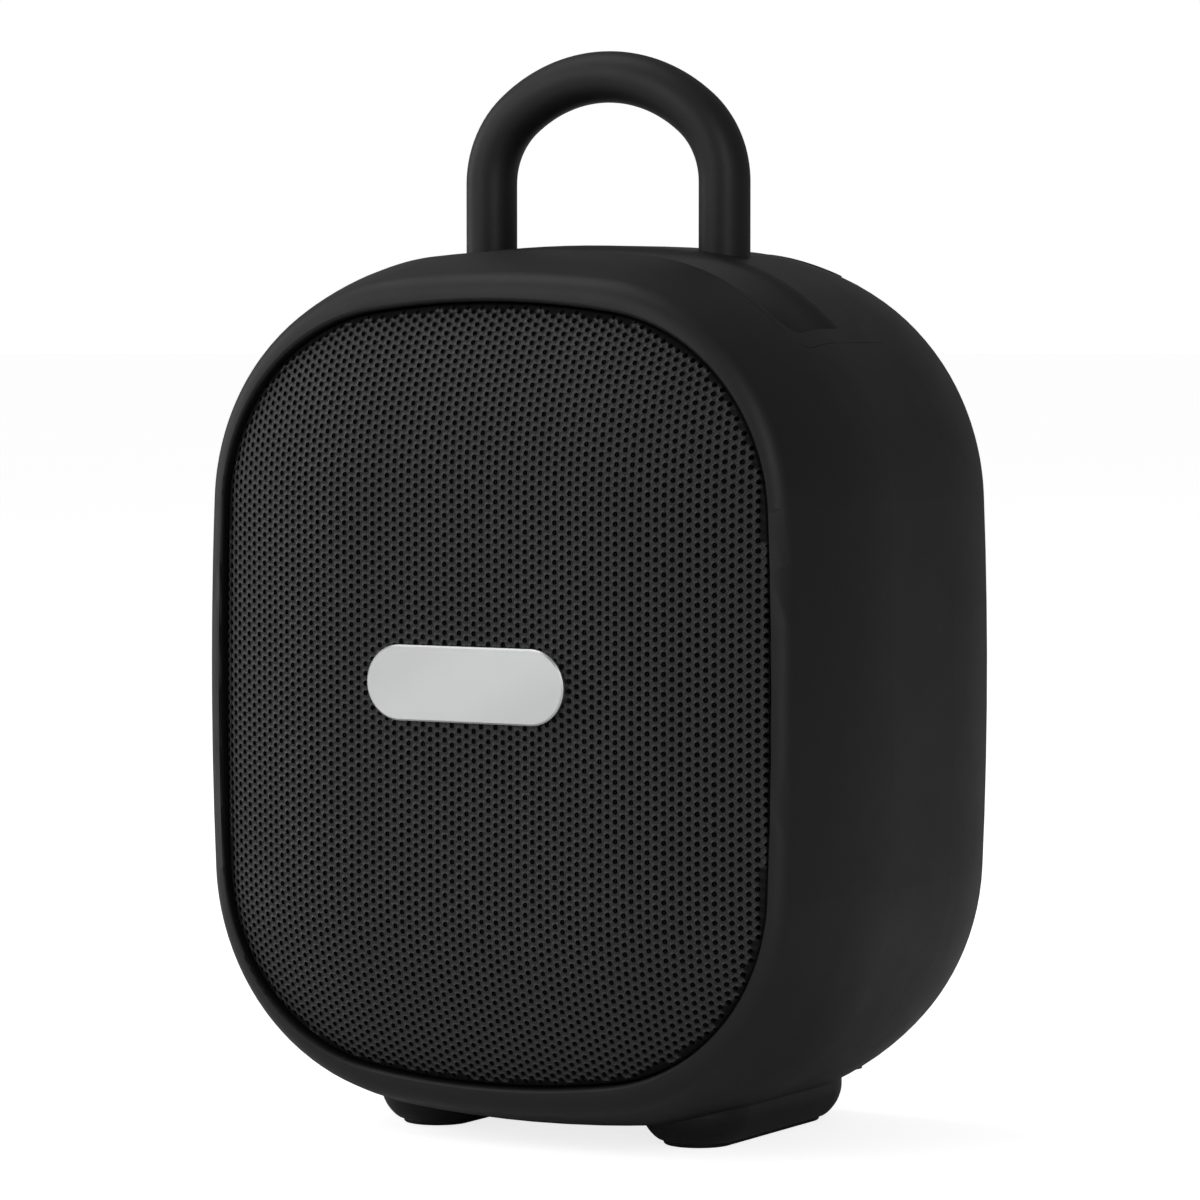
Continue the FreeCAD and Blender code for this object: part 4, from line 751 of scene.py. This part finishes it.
    def border(self, rim_points: np.ndarray, loops: Faces, edge: np.ndarray, first: int) -> Faces:
        """Fills the strip between the outermost holes and a loop round the sheet.

        Args:
            rim_points: Every hole's rim points, as x and z.
            loops: The web's borders.
            edge: The loop round the sheet, as x and z.
            first: Number of the loop's first point in the finished mesh.

        Returns:
            Triangles that fill the strip.
        """
        numbers = list(range(first, first + len(edge))) + [n for loop in loops for n in loop]
        spots = [Vector(p) for p in edge] + [Vector(rim_points[n]) for loop in loops for n in loop]
        faces, at = [list(range(len(edge)))], len(edge)
        for loop in loops:
            faces.append(list(range(at, at + len(loop))))
            at += len(loop)
        _, _, triangles, sources, _, origins = delaunay_2d_cdt(spots, [], faces, 1, 1e-7)
        return [[numbers[sources[v][0]] for v in t] for t, o in zip(triangles, origins) if list(o) == [0]]

    def edge_steps(self) -> list[tuple[float, float]]:
        """Lists the steps of the turned edge, from the front face round to the back face.

        Returns:
            The inset and depth of each step.
        """
        inner, bend = self.gap + self.wall, self.gap + self.bend_inset
        return [
            (inner, self.depth(inner)),
            (bend, self.depth(bend) + self.bend_drop),
            (self.gap + self.turn_inset, self.edge_y + self.turn_drop),
            (self.gap, self.edge_y + self.side_drop),
            (self.gap, self.seat_y),
            (inner, self.seat_y),
            (inner, self.depth(inner) + self.sheet),
        ]

    def rim_places(self, spots: np.ndarray) -> np.ndarray:
        """Places the points round every hole of the formed sheet.

        Args:
            spots: Centre x, centre z and radius of each hole on the flat sheet.

        Returns:
            An array of x and z.
        """
        step = 360 / RIM
        turns = np.radians(step / 2 + step * np.arange(RIM))
        ring = np.column_stack([np.cos(turns), np.sin(turns)])
        return self.formed((spots[:, None, :2] + spots[:, None, 2:] * ring[None]).reshape(-1, 2))

    @staticmethod
    def hole_walls(count: int) -> Faces:
        """Makes the walls of the holes, through the sheet.

        Args:
            count: How many holes there are.

        Returns:
            Faces from each front rim to its back rim.
        """
        faces, total = [], RIM * count
        for n in range(count):
            for k in range(RIM):
                a, b = RIM * n + k, RIM * n + (k + 1) % RIM
                faces.append([a, b, b + total, a + total][::-1])
        return faces

    @staticmethod
    def edge_walls(first: int, size: int, levels: int) -> Faces:
        """Makes the faces of the turned edge.

        Args:
            first: Number of its first point.
            size: Points in each loop round it.
            levels: How many loops there are.

        Returns:
            Faces between each loop and the next.
        """
        faces = []
        for level in range(levels - 1):
            start = first + level * size
            for k in range(size):
                a, b = start + k, start + (k + 1) % size
                faces.append([a, a + size, b + size, b])
        return faces

    def build(self, material: bpy.types.Material) -> bpy.types.Object:
        """Builds the punched sheet.

        Args:
            material: Its finish.

        Returns:
            The sheet.
        """
        spots = self.centres()
        holes = {key: n for n, key in enumerate(spots)}
        rim = self.rim_places(np.array(list(spots.values())))
        depth = self.depth(self.outline.inset_of(rim))
        count, total = len(holes), len(rim)
        web = self.web(holes)
        loops = self.rims(web, count)
        steps = self.edge_steps()
        rings = [self.outline.loop(inset) for inset, _ in steps]
        size, first = len(rings[0]), 2 * total
        y = np.concatenate([depth, depth + self.sheet] + [np.full(size, level) for _, level in steps])
        xz = np.concatenate([rim, rim] + rings)
        faces = web + self.border(rim, loops, rings[0], first)
        back = web + self.border(rim, loops, rings[-1], first + (len(steps) - 1) * size)
        faces += [[v + total if v < total else v for v in face][::-1] for face in back]
        faces += self.hole_walls(count) + self.edge_walls(first, size, len(steps))
        LOG.info("grille: %d holes, %d faces", count, len(faces))
        points = self.place.points(xz[:, 0], y, xz[:, 1])
        sheet = mesh_object("grille_sheet", points, faces, material)
        sheet.data.polygons.foreach_set("use_smooth", [True] * len(sheet.data.polygons))
        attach(sheet, "case")
        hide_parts("grille")
        return sheet


# ---------------------------------------------------------------- setting
@dataclass(frozen=True)
class SoftBox:
    """One soft rectangular lamp."""

    name: str
    place: Point
    width: float
    height: float
    watts: float

    def hang(self, target: Point) -> None:
        """Hangs the lamp.

        Args:
            target: Where it points.
        """
        data = bpy.data.lights.new(self.name, "AREA")
        data.shape = "RECTANGLE"
        data.size, data.size_y = self.width, self.height
        data.energy = self.watts
        obj = bpy.data.objects.new(self.name, data)
        obj.location = self.place
        aim = Vector(target) - Vector(self.place)
        obj.rotation_euler = aim.to_track_quat("-Z", "Y").to_euler()
        bpy.context.scene.collection.objects.link(obj)
        obj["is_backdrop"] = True


@dataclass(frozen=True)
class Studio:
    """A pale floor, a white surround, soft lights and the view of the speaker."""

    floor_z: float
    location: Point = (0.413246, -0.723604, 0.127307)
    azimuth: float = 29.57
    elevation: float = 3.16
    lens: float = 163.371
    sensor: float = 36.0
    near: float = 0.01
    surround: float = 0.20
    floor_glow: float = 0.8
    floor_sides: int = 96
    floor_radii: tuple[float, ...] = (0.6, 2.5, 12.0)
    target: Point = (0.0, 0.0, 0.07)
    lamps: tuple[SoftBox, ...] = (
        SoftBox("key", (-0.60, -0.95, 0.55), 0.9, 0.8, 3.7),
        SoftBox("overhead", (-0.45, -0.10, 1.05), 0.8, 0.8, 2.5),
        SoftBox("left", (-1.15, -0.10, 0.35), 0.5, 0.9, 2.4),
        SoftBox("edge", (0.80, -0.84, 0.42), 0.18, 0.8, 2.3),
    )

    def floor(self) -> None:
        """Lays a wide round floor of matt white paper."""
        turns = np.linspace(0.0, 2.0 * math.pi, self.floor_sides, endpoint=False)
        points = [(0.0, 0.0, self.floor_z)]
        points += [
            (r * math.cos(t), r * math.sin(t), self.floor_z) for r in self.floor_radii for t in turns
        ]
        count = len(turns)
        faces = [[0, 1 + k, 1 + (k + 1) % count] for k in range(count)]
        for ring in range(len(self.floor_radii) - 1):
            near, far = 1 + ring * count, 1 + (ring + 1) * count
            for k in range(count):
                after = (k + 1) % count
                faces.append([near + k, far + k, far + after, near + after])
        tree = Tree("white_paper")
        tree.set(Roughness=0.9, Specular_IOR_Level=0.1, Emission_Color=(1.0, 1.0, 1.0))
        tree.links.new(self.seen_glow(tree), tree.shader.inputs["Emission Strength"])
        tree.colour(tree.ramp(tree.noise(3.0, 2.0), (0.90, 0.90, 0.90), (0.93, 0.93, 0.93), 0.2, 0.8))
        mesh_object("floor", np.array(points), faces, tree.material)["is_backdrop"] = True

    def seen_glow(self, tree: Tree) -> Socket:
        """Glow that whitens the paper where it is looked at, without lighting the speaker.

        Args:
            tree: The paper's material.

        Returns:
            The glow's strength.
        """
        path = tree.add("ShaderNodeLightPath")
        scale = tree.add("ShaderNodeMath", operation="MULTIPLY")
        tree.links.new(path.outputs["Is Camera Ray"], scale.inputs[0])
        scale.inputs[1].default_value = self.floor_glow
        return scale.outputs["Value"]

    def light(self) -> None:
        """Sets a white surround that the camera sees at full brightness, and hangs the soft boxes."""
        world = bpy.data.worlds.new("surround")
        world.use_nodes = True
        nodes, links = world.node_tree.nodes, world.node_tree.links
        lit, seen = nodes["Background"], nodes.new("ShaderNodeBackground")
        for shade, strength in ((lit, self.surround), (seen, 1.0)):
            shade.inputs["Color"].default_value = (1.0, 1.0, 1.0, 1.0)
            shade.inputs["Strength"].default_value = strength
        path, mix = nodes.new("ShaderNodeLightPath"), nodes.new("ShaderNodeMixShader")
        links.new(path.outputs["Is Camera Ray"], mix.inputs[0])
        links.new(lit.outputs[0], mix.inputs[1])
        links.new(seen.outputs[0], mix.inputs[2])
        links.new(mix.outputs[0], nodes["World Output"].inputs["Surface"])
        bpy.context.scene.world = world
        for lamp in self.lamps:
            lamp.hang(self.target)

    def camera(self) -> None:
        """Places the camera and makes it the scene's own."""
        data = bpy.data.cameras.new("view")
        data.sensor_width = self.sensor
        data.lens = self.lens
        data.clip_start = self.near
        obj = bpy.data.objects.new("view", data)
        obj.location = self.location
        obj.rotation_euler = (math.radians(90 - self.elevation), 0.0, math.radians(self.azimuth))
        bpy.context.scene.collection.objects.link(obj)
        bpy.context.scene.camera = obj
        bpy.context.scene.view_settings.view_transform = "Standard"

    def build(self) -> None:
        """Builds the whole setting."""
        self.floor()
        self.light()
        self.camera()


def write_size(box: Sequence[Vector]) -> dict[str, list[list[float]]]:
    """Gives the frame's box and the finished scene's box as plain lists.

    Args:
        box: The frame's lowest and highest corners.

    Returns:
        Both boxes.
    """
    sizes = {"frame": [list(v) for v in box], "scene": [list(v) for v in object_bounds()]}
    return sizes


def main() -> None:
    """Dresses and completes the speaker, then lights it."""
    logging.basicConfig(level=logging.INFO, format="%(name)s: %(message)s")
    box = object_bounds()
    wardrobe = Wardrobe()
    wardrobe.build()
    wardrobe.dress_nodes()
    sheet = Grille(Place(ROW_Y, ROW_Z)).build(wardrobe.for_slot("grille_paint"))
    LOG.info("built %s", sheet.name)
    Studio(floor_z=0.0).build()
    LOG.info("sizes: %s", write_size(box))


if __name__ == "__main__":
    main()
